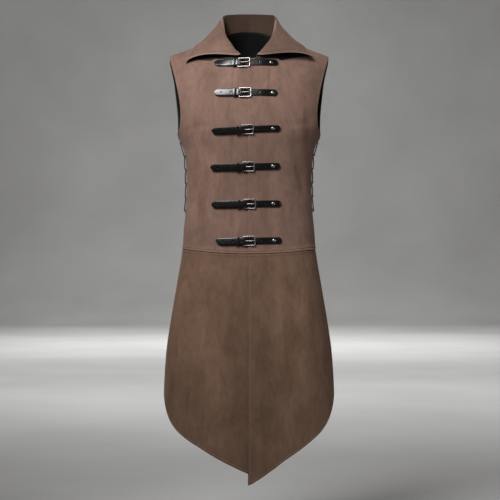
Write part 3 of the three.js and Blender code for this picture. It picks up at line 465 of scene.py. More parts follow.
def brushed_suede(name, tones):
    """Faux suede: a brushed microfibre knit. Its nap lies over in soft patches that look lighter or
    darker, it has no gloss but a faint sheen at grazing angles, and the fibres give a fine grain."""
    material, tree, shader = new_material(name, {
        "Roughness": 0.93, "IOR": 1.45, "Specular IOR Level": 0.25,
        "Sheen Weight": 0.27, "Sheen Roughness": 0.4, "Sheen Tint": linear("#c9ada0"),
    })
    place = add_node(tree, "ShaderNodeTexCoord").outputs["Object"]
    hanging = add_node(tree, "ShaderNodeMapping", {"Scale": (1, 1, 0.45)}, {"Vector": place})
    patches = add_node(tree, "ShaderNodeTexNoise", {
        "Scale": 1 / (52 * MM), "Detail": 5, "Roughness": 0.62, "Distortion": 0.6,
    }, {"Vector": hanging.outputs["Vector"]})
    strokes = add_node(tree, "ShaderNodeTexNoise", {
        "Scale": 1 / (9 * MM), "Detail": 4, "Roughness": 0.6,
    }, {"Vector": hanging.outputs["Vector"]})
    grain = add_node(tree, "ShaderNodeTexNoise", {
        "Scale": 1 / (1.6 * MM), "Detail": 3, "Roughness": 0.7,
    }, {"Vector": place})
    fine = add_node(tree, "ShaderNodeMath", {"operation": "MULTIPLY", 1: 0.18},
                    {0: grain.outputs["Fac"]})
    brushing = add_node(tree, "ShaderNodeMath", {"operation": "MULTIPLY_ADD", 1: 0.27},
                        {0: strokes.outputs["Fac"], 2: fine.outputs[0]})
    nap = add_node(tree, "ShaderNodeMath", {"operation": "MULTIPLY_ADD", 1: 0.55},
                   {0: patches.outputs["Fac"], 2: brushing.outputs[0]})
    brown = colour_steps(tree, nap.outputs[0], tuple(zip((0.36, 0.47, 0.54, 0.64), tones)))
    # A row of stitches in from an edge draws the cloth down into a shallow channel, given as a bump and as
    # painted shade that darkens the colour along it.
    edge = add_node(tree, "ShaderNodeAttribute", {"attribute_name": "from_edge"}).outputs["Fac"]
    off_row = add_node(tree, "ShaderNodeMath", {"operation": "SUBTRACT", 1: STITCH_MARGIN}, {0: edge})
    steep = add_node(tree, "ShaderNodeMath", {"operation": "DIVIDE", 1: CHANNEL_HALF},
                     {0: off_row.outputs[0]})
    square = add_node(tree, "ShaderNodeMath", {"operation": "MULTIPLY"},
                      {0: steep.outputs[0], 1: steep.outputs[0]})
    negative = add_node(tree, "ShaderNodeMath", {"operation": "MULTIPLY", 1: -1.0},
                        {0: square.outputs[0]})
    channel = add_node(tree, "ShaderNodeMath", {"operation": "EXPONENT"}, {0: negative.outputs[0]})
    darker = add_node(tree, "ShaderNodeMath", {"operation": "MULTIPLY", 1: 0.3},
                      {0: channel.outputs[0]})
    # Painted shade: down the middle, below the chest, the colour is darker, fading out towards the sides.
    spot = add_node(tree, "ShaderNodeSeparateXYZ", {}, {"Vector": place}).outputs
    from_middle = add_node(tree, "ShaderNodeMath", {"operation": "ABSOLUTE"}, {0: spot["X"]})
    middle = add_node(tree, "ShaderNodeMapRange", {
        "From Min": MIDDLE_SHADE_HALF, "From Max": 0.0, "To Min": 0.0, "To Max": 0.24,
    }, {"Value": from_middle.outputs[0]})
    below = add_node(tree, "ShaderNodeMapRange", {"From Min": MIDDLE_SHADE_FROM_Z, "From Max": MIDDLE_SHADE_FULL_Z},
                     {"Value": spot["Z"]})
    middle_shade = add_node(tree, "ShaderNodeMath", {"operation": "MULTIPLY"}, {
        0: middle.outputs["Result"], 1: below.outputs["Result"]})
    # Painted shade darkens the colour where the collar gives it, and a painted highlight makes it paler
    # along the collar's roll and edges.
    painted_shade_share = add_node(tree, "ShaderNodeAttribute", {"attribute_name": "painted_shade"}).outputs["Fac"]
    painted_highlight = add_node(tree, "ShaderNodeAttribute", {"attribute_name": "painted_highlight"}).outputs["Fac"]
    for share, tone in ((darker.outputs[0], "#4a372d"), (middle_shade.outputs[0], "#30231b"),
                        (painted_shade_share, "#30231b"), (painted_highlight, "#b89f92")):
        brown = add_node(tree, "ShaderNodeMix", {"data_type": "RGBA", "B": linear(tone)}, {
            "Factor": share, "A": brown}).outputs["Result"]
    tree.links.new(brown, shader.inputs["Base Color"])
    relief = add_node(tree, "ShaderNodeMath", {"operation": "MULTIPLY_ADD", 1: -1.6}, {
        0: channel.outputs[0], 2: grain.outputs["Fac"]})
    fibres = add_node(tree, "ShaderNodeBump", {"Strength": 0.35, "Distance": 0.25 * MM},
                      {"Height": relief.outputs[0]})
    brushed = add_node(tree, "ShaderNodeBump", {"Strength": 0.3, "Distance": 0.8 * MM},
                       {"Height": strokes.outputs["Fac"], "Normal": fibres.outputs["Normal"]})
    tree.links.new(brushed.outputs["Normal"], shader.inputs["Normal"])
    return material


def black_lining():
    """Black woven lining: a smooth filament twill, whose fine slanting ribs give a dull shine."""
    material, tree, shader = new_material("black_twill_lining", {
        "Base Color": linear("#121113"), "Roughness": 0.5, "Specular IOR Level": 0.3,
        "Sheen Weight": 0.15, "Sheen Roughness": 0.4,
    })
    weave = add_node(tree, "ShaderNodeUVMap", {"uv_map": "cloth"}).outputs["UV"]
    slanted = add_node(tree, "ShaderNodeMapping", {"Rotation": (0, 0, math.radians(45))},
                       {"Vector": weave})
    ribs = add_node(tree, "ShaderNodeTexWave", {
        "Scale": 1 / (2 * math.pi * 0.5 * MM), "Distortion": 0.6, "Detail": 1,
    }, {"Vector": slanted.outputs["Vector"]})
    bump = add_node(tree, "ShaderNodeBump", {"Strength": 0.2, "Distance": 0.1 * MM},
                    {"Height": ribs.outputs["Fac"]})
    tree.links.new(bump.outputs["Normal"], shader.inputs["Normal"])
    return material


suede = brushed_suede("brushed_faux_suede", ("#695247", "#755c51", "#7d6257", "#866b60"))
lining = black_lining()


def cut_away(piece, tool):
    """Cuts the tool's shape out of the piece, and clears the tool away."""
    gap = piece.modifiers.new("gap", "BOOLEAN")
    gap.object = tool
    gap.operation = "DIFFERENCE"
    gap.solver = "EXACT"
    apply_all(piece)
    bpy.data.objects.remove(tool)


PUNCH_REACH = 6 * MM
PUNCH_SIDES = 16


def punched(piece, places, radius):
    """Cuts round holes through a piece, each given as its middle and its axis."""
    punch = bpy.data.meshes.new("punch")
    points, faces, sides = [], [], PUNCH_SIDES
    for middle, axis in places:
        turn = Vector((0, 0, 1)).rotation_difference(Vector(axis)).to_matrix()
        first = len(points)
        for end in (-PUNCH_REACH, PUNCH_REACH):
            for k in range(sides):
                t = 2 * math.pi * k / sides
                flat = Vector((radius * math.cos(t), radius * math.sin(t), end))
                points.append(Vector(middle) + turn @ flat)
        faces.append([first + k for k in reversed(range(sides))])
        faces.append([first + sides + k for k in range(sides)])
        for k in range(sides):
            onward = (k + 1) % sides
            faces.append([first + k, first + onward, first + sides + onward, first + sides + k])
    punch.from_pydata([tuple(p) for p in points], [], faces)
    cut_away(piece, placed("punch", punch))


EYELET_HOLE = 2.6 * MM
SMALL_ANGLE = 0.002


def cloth_place(side, angle, z):
    """Points on the cloth, and the directions out of it and up it."""
    across = on_figure(side, angle + SMALL_ANGLE, z) - on_figure(side, angle - SMALL_ANGLE, z)
    up = on_figure(side, angle, z + MM) - on_figure(side, angle, z - MM)
    up /= np.linalg.norm(up, axis=-1, keepdims=True)
    out = np.cross(across, up) * -side
    out /= np.linalg.norm(out, axis=-1, keepdims=True)
    return on_figure(side, angle, z), out, up


def eyelet_place(side, hand, level):
    z = np.array(EYELET_TOP_Z + EYELET_STEP_Z * level)
    return cloth_place(side, hand * angle_at_distance(side, laced_half(z) + EYELET_INSET, z), z)


back_grid = cut_panel(BACK, lambda z: -bodice_edge(BACK, z), lambda z: bodice_edge(BACK, z),
                      over_waist, upper_edge, crowded=2)
back_points, back_rim, back_way = shaped(evened(back_grid, CLOTH_STEP))
back = sewn_shell("suede_back", back_points, back_rim, back_way, SUEDE, [suede, lining], bound=True)
back_eyelets = [eyelet_place(BACK, hand, level) for hand in (-1, 1) for level in range(EYELET_LEVELS)]
punched(back, [(place, out) for place, out, _ in back_eyelets], EYELET_HOLE)
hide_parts("back_bodice")
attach(back, "root")


# ---------------------------------------------------------------------------------------------
# The lining of the back: black twill cut like the back and hung inside it, free of the laced edges.
# It shows in the neck and in both armholes.
LINING = 1.0 * MM
LINING_FREE_Y = 38 * MM
LINING_FREE_GAP = 3 * MM
LINING_STEP = 5 * MM
LINING_GAP = 1.3 * MM
LINING_SAG = 1.2 * MM
LINING_HUMPS = (45 * MM, 21)
LINING_HELD = 15 * MM


def lining_edge(z):
    """The lining's side: the armhole, and below it well behind the lacing."""
    free = angle_at_distance(BACK, LINING_FREE_Y + 0 * z, z)
    return np.where(z > ARMHOLE_BOTTOM_Z - LINING_FREE_GAP, bodice_edge(BACK, z), free)


lining_grid = evened(cut_panel(BACK, lambda z: -lining_edge(z), lining_edge,
                               over_waist, upper_edge, crowded=2), LINING_STEP)
lining_out, lining_way = outward(lining_grid)
lining_rim = distance_to(rim(lining_grid), lining_grid)
lining_sag = LINING_SAG * (0.5 + 0.5 * waves(lining_grid, *LINING_HUMPS))
lining_sag = LINING_GAP + lining_sag * smoothstep(lining_rim / LINING_HELD)
lining_points = lining_grid - lining_out * (SUEDE + lining_sag)[..., None]
back_lining = sewn_shell("twill_lining", lining_points, lining_rim, lining_way, LINING, [lining])
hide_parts("back_lining")
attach(back_lining, "root")


# ---------------------------------------------------------------------------------------------
# The fronts: two suede panels, the wearer's left one lapped over the right. The straps pull the
# lapped edge, so the cloth breaks into soft folds beside them and over the waist.
LAP_EDGE_X = -2.5 * MM
LAP_HIDDEN_X = 22 * MM
LAP_FULL_X = 28 * MM
LAP_GONE_X = 60 * MM
LAP_LIFT = SUEDE + 2 * SEAM
FOLD_END = 30 * MM
FOLD_END_SHARE = 0.45
FOLD_SIDE = 30 * MM

# from x, z, to x, z, width, height: soft ridges, and troughs below 0
FRONT_FOLDS = np.array([
    (-108, -190, -148, -430, 15, 3),
    (-84, -250, -122, -430, 14, -2.5),
    (146, -165, 150, -260, 12, -3),
    (108, -215, 142, -370, 14, -3),
    (-106, -585, -110, -745, 18, -4),
    (112, -570, 128, -800, 20, -3),
    (-38, -56, -37.5, -108, 2.4, -2.3),
    (-32, -58, -31, -108, 3.5, 1.2),
    (-50, -60, -48, -106, 7, 0.8),
    (26, -52, 24, -108, 7, -1.4),
    (46, -52, 44, -108, 4, 0.9),
    (51, -52, 50, -106, 3, -1.0),
    (-100, -60, -150, -140, 16, -1.5),
    (-70, -66, -112, -150, 12, -1.2),
    (96, -60, 128, -150, 15, -1.6),
    (70, -140, 116, -196, 9, -1.4),
    (-92, -196, -150, -204, 9, -1.6),
    (84, -200, 140, -190, 9, -1.5),
    (-120, -290, -142, -330, 7, -1.3),
    (118, -300, 138, -352, 7, -1.5),
    (-128, -372, -150, -398, 6, -1.2),
    (124, -395, 148, -425, 8, -1.3),
    (-38, -218, -42, -286, 5, -1.0),
    (-36, -310, -40, -378, 5, -0.9),
    (-40, -400, -36, -468, 5, -0.9),
    (-100, -440, -140, -478, 8, -1.2),
    (96, -430, 146, -486, 8, -1.2),
    (34, -224, 30, -284, 8, -0.9),
    (40, -404, 30, -466, 9, -0.8),
    (-64, -535, -74, -700, 14, -1.6),
    (-150, -560, -168, -760, 12, -1.6),
    (60, -540, 72, -690, 12, -1.4),
    (158, -600, 170, -820, 12, -1.5),
    (-40, -700, -52, -960, 22, -2.2),
    (52, -720, 64, -980, 22, -2.2),
    (-130, -800, -122, -930, 16, -1.8),
    (136, -820, 124, -950, 16, -1.8),
]) * MM


def folded(grid):
    """How far the folds of the fronts push the cloth out at each point."""
    flat = grid[..., (0, 2)]
    half = curve_through(FIGURE_Z, HALF_WIDTH, grid[..., 2])
    clear = smoothstep((half - np.abs(grid[..., 0])) / FOLD_SIDE)
    total = np.zeros(grid.shape[:-1])
    for row in FRONT_FOLDS:
        start, end, width, height = row[:2], row[2:4], row[4], row[5]
        length = np.linalg.norm(end - start)
        way = (end - start) / length
        along = (flat - start) @ way
        beside = (flat - start) @ np.array((-way[1], way[0]))
        past = np.maximum(np.maximum(-along, along - length), 0)
        fade = min(FOLD_END, FOLD_END_SHARE * length)
        ends = smoothstep((along + fade) / (2 * fade)) * smoothstep((length + fade - along) / (2 * fade))
        total += ends * height * np.exp(-(beside ** 2 + past ** 2) / width ** 2)
    return total * clear


def lap_lift(x):
    return LAP_LIFT * (1 - smoothstep((x - LAP_FULL_X) / (LAP_GONE_X - LAP_FULL_X)))


# The waist seam's allowance is pressed up and sewn down, so it shows as a low welt with a groove.
WELT_WIDTH = 10.5 * MM
WELT_HEIGHT = 1.1 * MM
WELT_FOOT = 1.6 * MM
WELT_HEAD = 1.8 * MM
GROOVE_DEPTH = 1.2 * MM
GROOVE_HALF = 1.3 * MM
GROOVE_PLACE = 0.55 * WELT_WIDTH


def welt(grid):
    above = distance_to(grid[:, 0], grid)
    pressed = smoothstep(above / WELT_FOOT) * smoothstep((WELT_WIDTH - above) / WELT_HEAD)
    return WELT_HEIGHT * pressed - GROOVE_DEPTH * np.exp(-((above - GROOVE_PLACE) / GROOVE_HALF) ** 2)


fronts, front_shells = {}, {}
for hand, wearers in ((-1, "right"), (1, "left")):
    centre = LAP_EDGE_X if hand > 0 else LAP_HIDDEN_X
    grid = cut_panel(
        FRONT,
        lambda z: angle_at_x(FRONT, centre, z),
        lambda z: hand * bodice_edge(FRONT, z),
        over_waist, upper_edge, crowded=2)
    grid = evened(grid, CLOTH_STEP)
    lift = folded(grid) + welt(grid) + (lap_lift(grid[..., 0]) if hand > 0 else 0)
    points, edge, way = shaped(grid, lift)
    piece = sewn_shell("suede_front_" + wearers, points, edge, way, SUEDE, [suede, lining])
    eyelets = [eyelet_place(FRONT, hand, level) for level in range(EYELET_LEVELS)]
    punched(piece, [(place, out) for place, out, _ in eyelets], EYELET_HOLE)
    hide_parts("front_bodice_" + wearers)
    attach(piece, "root")
    fronts[hand] = points
    front_shells[hand] = piece


# ---------------------------------------------------------------------------------------------
# The skirts: two front halves lapped like the fronts and one back half, sewn to the waist seam,
# flared from the hips and cut to a point at the centre, with rounded corners at the open sides.
SLIT_TOP_Z = -600 * MM
SLIT_HALF = 12 * MM
SLIT_FULL_Z = -850 * MM

# angle from the centre in degrees, height of the hem on the left and behind, on the right
HEM = np.array([
    (-12, -1068, -1051),
    (0, -1068, -1042),
    (22, -1034, -1017),
    (34, -1010, -1000),
    (45, -989, -981),
    (55, -967, -963),
    (64, -945, -943),
    (72, -919, -919),
    (79, -890, -890),
    (88, -848, -848),
], dtype=float)
HEM_ANGLE, HEM_LEFT, HEM_RIGHT = HEM[:, 0] * math.pi / 180, HEM[:, 1] * MM, HEM[:, 2] * MM


def skirt_edge(side, z):
    opened = np.clip((z - SLIT_TOP_Z) / (SLIT_FULL_Z - SLIT_TOP_Z), 0, 1)
    return angle_at_distance(side, SEAM / 2 + (SLIT_HALF - SEAM / 2) * opened, z)


def hem_left(side, angle, z):
    return curve_through(HEM_ANGLE, HEM_LEFT, np.abs(angle) if side == BACK else angle)


def hem_right(side, angle, z):
    return curve_through(HEM_ANGLE, HEM_RIGHT, -angle)


def under_waist(side, angle, z):
    return waist_seam(side, angle, z) - SEAM / 2


# The skirts get a darker and browner copy of the same suede: painted shade for the lower part of the
# garment.
shaded_suede = brushed_suede("brushed_faux_suede_shaded", ("#5e483a", "#6a5242", "#715848", "#7a604f"))

skirts, skirt_shells = {}, {}
for hand, wearers in ((-1, "right"), (1, "left")):
    centre = LAP_EDGE_X if hand > 0 else LAP_HIDDEN_X
    grid = cut_panel(
        FRONT,
        lambda z: angle_at_x(FRONT, centre, z),
        lambda z: hand * skirt_edge(FRONT, z),
        hem_left if hand > 0 else hem_right, under_waist)
    grid = evened(grid, CLOTH_STEP)
    lift = folded(grid) + (lap_lift(grid[..., 0]) if hand > 0 else 0)
    points, edge, way = shaped(grid, lift)
    piece = sewn_shell("suede_skirt_" + wearers, points, edge, way, SUEDE, [shaded_suede, lining])
    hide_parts("front_skirt_" + wearers)
    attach(piece, "root")
    skirts[hand] = points
    skirt_shells[hand] = piece

back_skirt_grid = cut_panel(BACK, lambda z: -skirt_edge(BACK, z), lambda z: skirt_edge(BACK, z),
                            hem_left, under_waist)
back_skirt_points, back_skirt_rim, back_skirt_way = shaped(evened(back_skirt_grid, CLOTH_STEP))
back_skirt = sewn_shell("suede_skirt_back", back_skirt_points, back_skirt_rim, back_skirt_way, SUEDE,
                        [shaded_suede, lining])
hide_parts("back_skirt")
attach(back_skirt, "root")


# ---------------------------------------------------------------------------------------------
# The collar: a stand and a pointed fall in one, folded at the roll. It has two plies, suede on the
# side that shows and black twill under it, turned out at the edges and sewn to the neckline.
COLLAR_SEAM = 0.6 * MM
COLLAR_PLY = 1.2 * MM
COLLAR_START = 18 * MM
ROLL_RADIUS = 5 * MM
STAND_FOOT = 2.5 * MM

# A row for each place round the neck, from the centre back to the front: its way along the neckline,
# the roll's top, the sweep of the roll in degrees, how far the fall keeps on the way it leaves the
# roll, how much it bows up, its edge, and how much higher the wearer's left edge lies.
CollarRow = collections.namedtuple("CollarRow", "way roll sweep reach bow edge left")
COLLAR = [
    CollarRow(0, (0, 84, 101), 150, 6, 0, (0, 99, 40), 0),
    CollarRow(36, (38, 76, 100), 148, 6, 0, (58, 92, 34), 0),
    CollarRow(62, (62, 52, 93), 142, 6, 0, (98, 70, 20), 0),
    CollarRow(74, (62, 17, 68), 132, 8, 0, (122, 26, 15), 0),
    CollarRow(80, (58, -20, 40), 126, 10, 0, (131, 2, 12), 0),
    CollarRow(94, (50, -54, 12), 118, 12, 5, (140, -20, 1), 3),
    CollarRow(108, (38, -76, -6), 104, 14, 13, (149, -38, -19), 8),
    CollarRow(130, (21, -94, -20), 70, 16, 28, (158, -54, -37), 13),
]
BOW_PLACE = 0.65  # the fall bows most at this share of its width
RIGHT_BOW = 1.3  # and the wearer's right leaf this many times as much as the left one
STAND_LINES = 9  # how many lines go up the stand, round the roll and down the fall
ROLL_LINES = 14
FALL_LINES = 26
STAND_ROWS = 15  # how many of these lines face into the neck
COLLAR_STEP = 3 * MM
COLLAR_UNEVEN = 0.9 * MM
COLLAR_HUMPS = (55 * MM, 5)
COLLAR_HELD = 14 * MM
COLLAR_ROUNDED = 0.6 * MM


def neckline_place(side, x):
    z = neckline_height(side, x)
    return cloth_place(side, angle_at_x(side, x, z), z)


def unit(vectors):
    return vectors / np.linalg.norm(vectors, axis=-1, keepdims=True)


def collar_lines(side, hand, x):
    """For each x a line from the neckline up the stand, round the roll and down the fall."""
    place, out, _ = neckline_place(side, hand * x)
    onward_x = np.minimum(x + MM, NECK_X)
    along = neckline_place(side, hand * onward_x)[0] - neckline_place(side, hand * (x - MM))[0]
    away = unit(np.cross(along, out))
    away *= np.sign(away[:, 2:])
    lift = lap_lift(x) if side == FRONT and hand > 0 else 0 * x
    seam = place + out * (lift - SUEDE / 2)[:, None] + away * COLLAR_SEAM
    foot = seam + away * STAND_FOOT
    way = x if side == BACK else 2 * NECK_X - x
    index = np.interp(way / MM, [row.way for row in COLLAR], np.arange(len(COLLAR)))

    def column(values):
        values = np.array(values, dtype=float)
        return curve_through(np.arange(len(COLLAR)), values, index)

    def places(rows):
        return np.stack([column([row[k] for row in rows]) for k in range(3)], axis=1) * (hand * MM, MM, MM)

    roll = places([row.roll for row in COLLAR])
    edge = places([row.edge for row in COLLAR])
    if hand > 0:
        edge[:, 2] += column([row.left for row in COLLAR]) * MM
    sweep = np.radians(column([row.sweep for row in COLLAR]))[:, None]
    reach = column([row.reach for row in COLLAR])[:, None] * MM
    bow = column([row.bow for row in COLLAR])[:, None] * (0, 0, MM if hand > 0 else RIGHT_BOW * MM)
    rise = unit(roll - foot)
    turn = unit(np.cross(rise, along))
    turn *= np.sign((turn * foot * (1, 1, 0)).sum(axis=1))[:, None]
    centre = roll + (turn - rise) * ROLL_RADIUS
    stand_top = centre - turn * ROLL_RADIUS
    line = [seam] + [foot + (stand_top - foot) * t for t in np.linspace(0, 1, STAND_LINES)[:-1]]
    for t in np.linspace(0, 1, ROLL_LINES):
        line.append(centre + ROLL_RADIUS * (rise * np.sin(t * sweep) - turn * np.cos(t * sweep)))
    fall_top = line[-1]
    onward = (turn * np.sin(sweep) + rise * np.cos(sweep)) * reach
    pull = fall_top + (edge - fall_top) * BOW_PLACE + onward + bow
    for t in np.linspace(0, 1, FALL_LINES)[1:]:
        line.append((1 - t) ** 3 * fall_top + 3 * t * (1 - t) ** 2 * (fall_top + onward)
                    + 3 * t ** 2 * (1 - t) * pull + t ** 3 * edge)
    return np.stack(line, axis=1)


def collar_half(hand):
    behind = NECK_X * np.sin(np.linspace(0, math.pi / 2, 90))[:-1]
    before = NECK_X * np.sin(np.linspace(math.pi / 2, math.asin(COLLAR_START / NECK_X), 90))
    return np.concatenate([collar_lines(BACK, hand, behind), collar_lines(FRONT, hand, before)])


cut_collar = np.concatenate([collar_half(-1)[:0:-1], collar_half(1)])
collar_grid = evened(cut_collar, COLLAR_STEP)
collar_normal = wound(collar_grid)
collar_rim = distance_to(rim(collar_grid), collar_grid)
collar_sag = COLLAR_UNEVEN * waves(collar_grid, *COLLAR_HUMPS) * smoothstep(collar_rim / COLLAR_HELD)
collar_middle = collar_grid + collar_normal * collar_sag[..., None]
collar_rounded = COLLAR_ROUNDED * np.exp(-(collar_rim / TURN_WIDTH) ** 2)
collar_lift = (SEAM / 2 + COLLAR_PLY - collar_rounded)[..., None]
collar_points = collar_middle + collar_normal * collar_lift
upper_collar = sewn_shell("suede_collar", collar_points, collar_rim, 1, COLLAR_PLY, [suede])

# The collar is cut in one. Painted shade darkens the inside of the stand, and the wearer's left half a
# little as it faces away from the light, the right half barely. A painted highlight makes the roll and fall
# edges paler.
STAND_SHADE = 0.9
LEFT_LEAF_SHADE = 0.3
RIGHT_LEAF_SHADE = 0.05
SHADE_FADE = 4 * MM
HIGHLIGHT_PALE = 0.5
HIGHLIGHT_WIDTH = 1.6 * MM
HIGHLIGHT_PAST_ROLL = 2 * MM

collar_spots = [vertex.co for vertex in upper_collar.data.vertices]
to_stand, to_fall = [
    np.array([tree.find(spot)[2] for spot in collar_spots])
    for tree in (point_tree(cut_collar[:, :STAND_ROWS].reshape(-1, 3)),
                 point_tree(cut_collar[:, STAND_ROWS + 2:].reshape(-1, 3)))]
past_roll = to_stand - to_fall
leaf_shade = np.where([spot.x > 0 for spot in collar_spots], LEFT_LEAF_SHADE, RIGHT_LEAF_SHADE)
stand_shade = STAND_SHADE * smoothstep(0.5 - past_roll / SHADE_FADE)
from_rim = np.empty(len(collar_spots), dtype=np.float32)
upper_collar.data.attributes["from_edge"].data.foreach_get("value", from_rim)
at_roll = np.exp(-((past_roll - HIGHLIGHT_PAST_ROLL) / HIGHLIGHT_WIDTH) ** 2)
at_rim = np.exp(-(from_rim / HIGHLIGHT_WIDTH) ** 2) * (past_roll > 0)
point_values(upper_collar.data, "painted_shade", np.maximum(leaf_shade, stand_shade))
point_values(upper_collar.data, "painted_highlight", HIGHLIGHT_PALE * np.maximum(at_roll, at_rim))
under_collar = sewn_shell("twill_under_collar", collar_middle - collar_normal * collar_lift, collar_rim, -1,
                          COLLAR_PLY, [lining])
for piece, node, finish in (
        (upper_collar, "upper_collar", "suede"),
        (under_collar, "under_collar", "lining")):
    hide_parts(node)
    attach(piece, "root")

# A painted shadow: a thin black twill sheet laid on the fronts below the collar's front edges, where the
# collar's shadow falls. Its depth below the edge, by the distance from the centre front.
SHADOW_SHEET_DEPTH = {
    -1: np.array([(20, 9), (84, 10), (94, 15), (110, 13), (130, 8), (142, 5), (152, 1)]) * MM,
    1: np.array([(20, 9), (68, 10), (80, 17), (100, 13), (126, 8), (142, 4), (152, 1)]) * MM,
}
SHADOW_SHEET_START = 14 * MM
SHADOW_SHEET_END = 150 * MM
SHADOW_SHEET_STEP = 2.5 * MM
SHADOW_SHEET_ROWS = 9
SHADOW_SHEET_TUCK = 7 * MM  # it runs on up behind the collar's edge by this
SHADOW_SHEET_LEAST = 1.5 * MM
SHADOW_SHEET_OFF_NECK = 0.5 * MM
SHADOW_SHEET_PLY = 0.8 * MM
SHADOW_SHEET_SEAT = 0.2 * MM
LEAF_START = 24 * MM
# As far from the centre as the first strap reaches, the band is cut straight above it.
CLOSURE_END = {-1: 88 * MM, 1: 73 * MM}
CLOSURE_TOP_Z = -33.5 * MM

for hand, wearers in ((-1, "right"), (1, "left")):
    leaf_edge = collar_points[0 if hand < 0 else -1]
    leaf_edge = leaf_edge[leaf_edge[:, 0] * hand > LEAF_START]
    reach = leaf_edge[:, 0] * hand
    order = np.argsort(reach)
    x = np.arange(SHADOW_SHEET_START, SHADOW_SHEET_END, SHADOW_SHEET_STEP)
    edge_z = np.interp(x, reach[order], leaf_edge[order, 2])
    foot_z = edge_z - np.interp(x, *SHADOW_SHEET_DEPTH[hand].T)
    foot_z = np.where(x < CLOSURE_END[hand], np.maximum(foot_z, CLOSURE_TOP_Z), foot_z)
    below_neck = neckline_height(FRONT, x) - SHADOW_SHEET_OFF_NECK
    head_z = np.maximum(np.minimum(edge_z + SHADOW_SHEET_TUCK, below_neck), foot_z + SHADOW_SHEET_LEAST)
    z = foot_z[:, None] + (head_z - foot_z)[:, None] * np.linspace(0, 1, SHADOW_SHEET_ROWS)
    across = np.repeat(hand * x[:, None], SHADOW_SHEET_ROWS, axis=1)
    place, out, _ = cloth_place(FRONT, angle_at_x(FRONT, across, z), z)
    lift = folded(place) + (lap_lift(across) if hand > 0 else 0) + SHADOW_SHEET_PLY + SHADOW_SHEET_SEAT
    shadow_sheet_grid = place + out * lift[..., None]
    shadow_sheet_rim = np.full(shadow_sheet_grid.shape[:2], FAR)
    shadow_sheet_way = outward(shadow_sheet_grid)[1]
    # The black sheet of painted shadow under the collar's front edge.
    facing = sewn_shell("black_shadow_sheet_" + wearers, shadow_sheet_grid, shadow_sheet_rim, shadow_sheet_way, SHADOW_SHEET_PLY,
                        [lining])
    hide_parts("under_collar")
    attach(facing, "root")


# ---------------------------------------------------------------------------------------------
# The topstitching, in thick brown thread: one row in from every edge that shows, two rows above the
# waist seam, and one along the collar. Each stitch dips into the cloth at both ends.
STITCH_PITCH = 3.8 * MM
STITCH_LENGTH = 3.0 * MM
STITCH_MARKS = 0.25 * MM
THREAD_RADIUS = 0.4 * MM
THREAD_SIDES = 6
STITCH_RINGS = 5
WAIST_ROWS = (2.4 * MM, 8.6 * MM)
COLLAR_ROW = 5 * MM


def polyester_thread():
    """Core-spun polyester thread: a faint satin gloss and the twist of its plies."""
    material, tree, shader = new_material("core_spun_thread", {
        "Roughness": 0.55, "Specular IOR Level": 0.35, "Sheen Weight": 0.2,
    })
    place = add_node(tree, "ShaderNodeTexCoord").outputs["Object"]
    plies = add_node(tree, "ShaderNodeTexNoise", {"Scale": 1 / (0.5 * MM), "Detail": 2}, {"Vector": place})
    tree.links.new(colour_steps(tree, plies.outputs["Fac"], ((0.35, "#9a7f70"), (0.65, "#b0978a"))),
                   shader.inputs["Base Color"])
    return material


def line_at(points, axis, distance, ends=0.0, last=False):
    """The line on a grid of points at a distance from its first or last edge, and less at its ends."""
    grid = np.moveaxis(points, axis, 0)
    grid = grid[::-1] if last else grid
    along = walked(grid)
    line = np.array([[np.interp(distance, along[:, j], grid[:, j, k]) for k in range(3)]
                     for j in range(grid.shape[1])])
    along = walked(line)
    return line[(along >= ends) & (along <= along[-1] - ends)]


def sewn_rows(name, rows, shells):
    """Rows of stitches along lines on the cloth. The shells say which way the cloth faces."""
    surfaces = [BVHTree.FromObject(shell, bpy.context.evaluated_depsgraph_get()) for shell in shells]
    spread = np.linspace(0, 1, STITCH_RINGS)
    middle = STITCH_RINGS // 2
    thick = THREAD_RADIUS * np.array((0.45, 0.9, 1, 0.9, 0.45))
    high = THREAD_RADIUS * np.array((-0.6, 0.25, 0.5, 0.25, -0.6))
    turns = 2 * math.pi * np.arange(THREAD_SIDES) / THREAD_SIDES
    points, faces = [], []
    for row in rows:
        fine = marked_out(row, STITCH_MARKS)
        stride = int(round(STITCH_PITCH / STITCH_MARKS))
        reach = int(round(STITCH_LENGTH / STITCH_MARKS))
        for start in range(0, len(fine) - reach, stride):
            line = np.array([fine[start + int(round(t * reach))] for t in spread])
            found = [tree.find_nearest(Vector(line[middle])) for tree in surfaces]
            near = min(found, key=lambda hit: hit[3])
            out = np.array(near[1])
            way = unit(line[-1] - line[0])
            beside = unit(np.cross(way, out))
            first = len(points)
            line += np.array(near[0]) - line[middle]
            for k in range(STITCH_RINGS):
                for turn in turns:
                    points.append(line[k] + out * (high[k] + thick[k] * math.cos(turn))
                                  + beside * thick[k] * math.sin(turn))
            for k in range(STITCH_RINGS - 1):
                for j in range(THREAD_SIDES):
                    a = first + k * THREAD_SIDES
                    b, c = a + j, a + (j + 1) % THREAD_SIDES
                    faces.append((b, c, c + THREAD_SIDES, b + THREAD_SIDES))
            faces.append([first + j for j in reversed(range(THREAD_SIDES))])
            last = first + (STITCH_RINGS - 1) * THREAD_SIDES
            faces.append([last + j for j in range(THREAD_SIDES)])
    mesh = bpy.data.meshes.new(name)
    mesh.from_pydata([tuple(point) for point in points], [], faces)
    mesh.shade_smooth()
    mesh.materials.append(thread)
    stitches = placed(name, mesh)
    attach(stitches, "root")


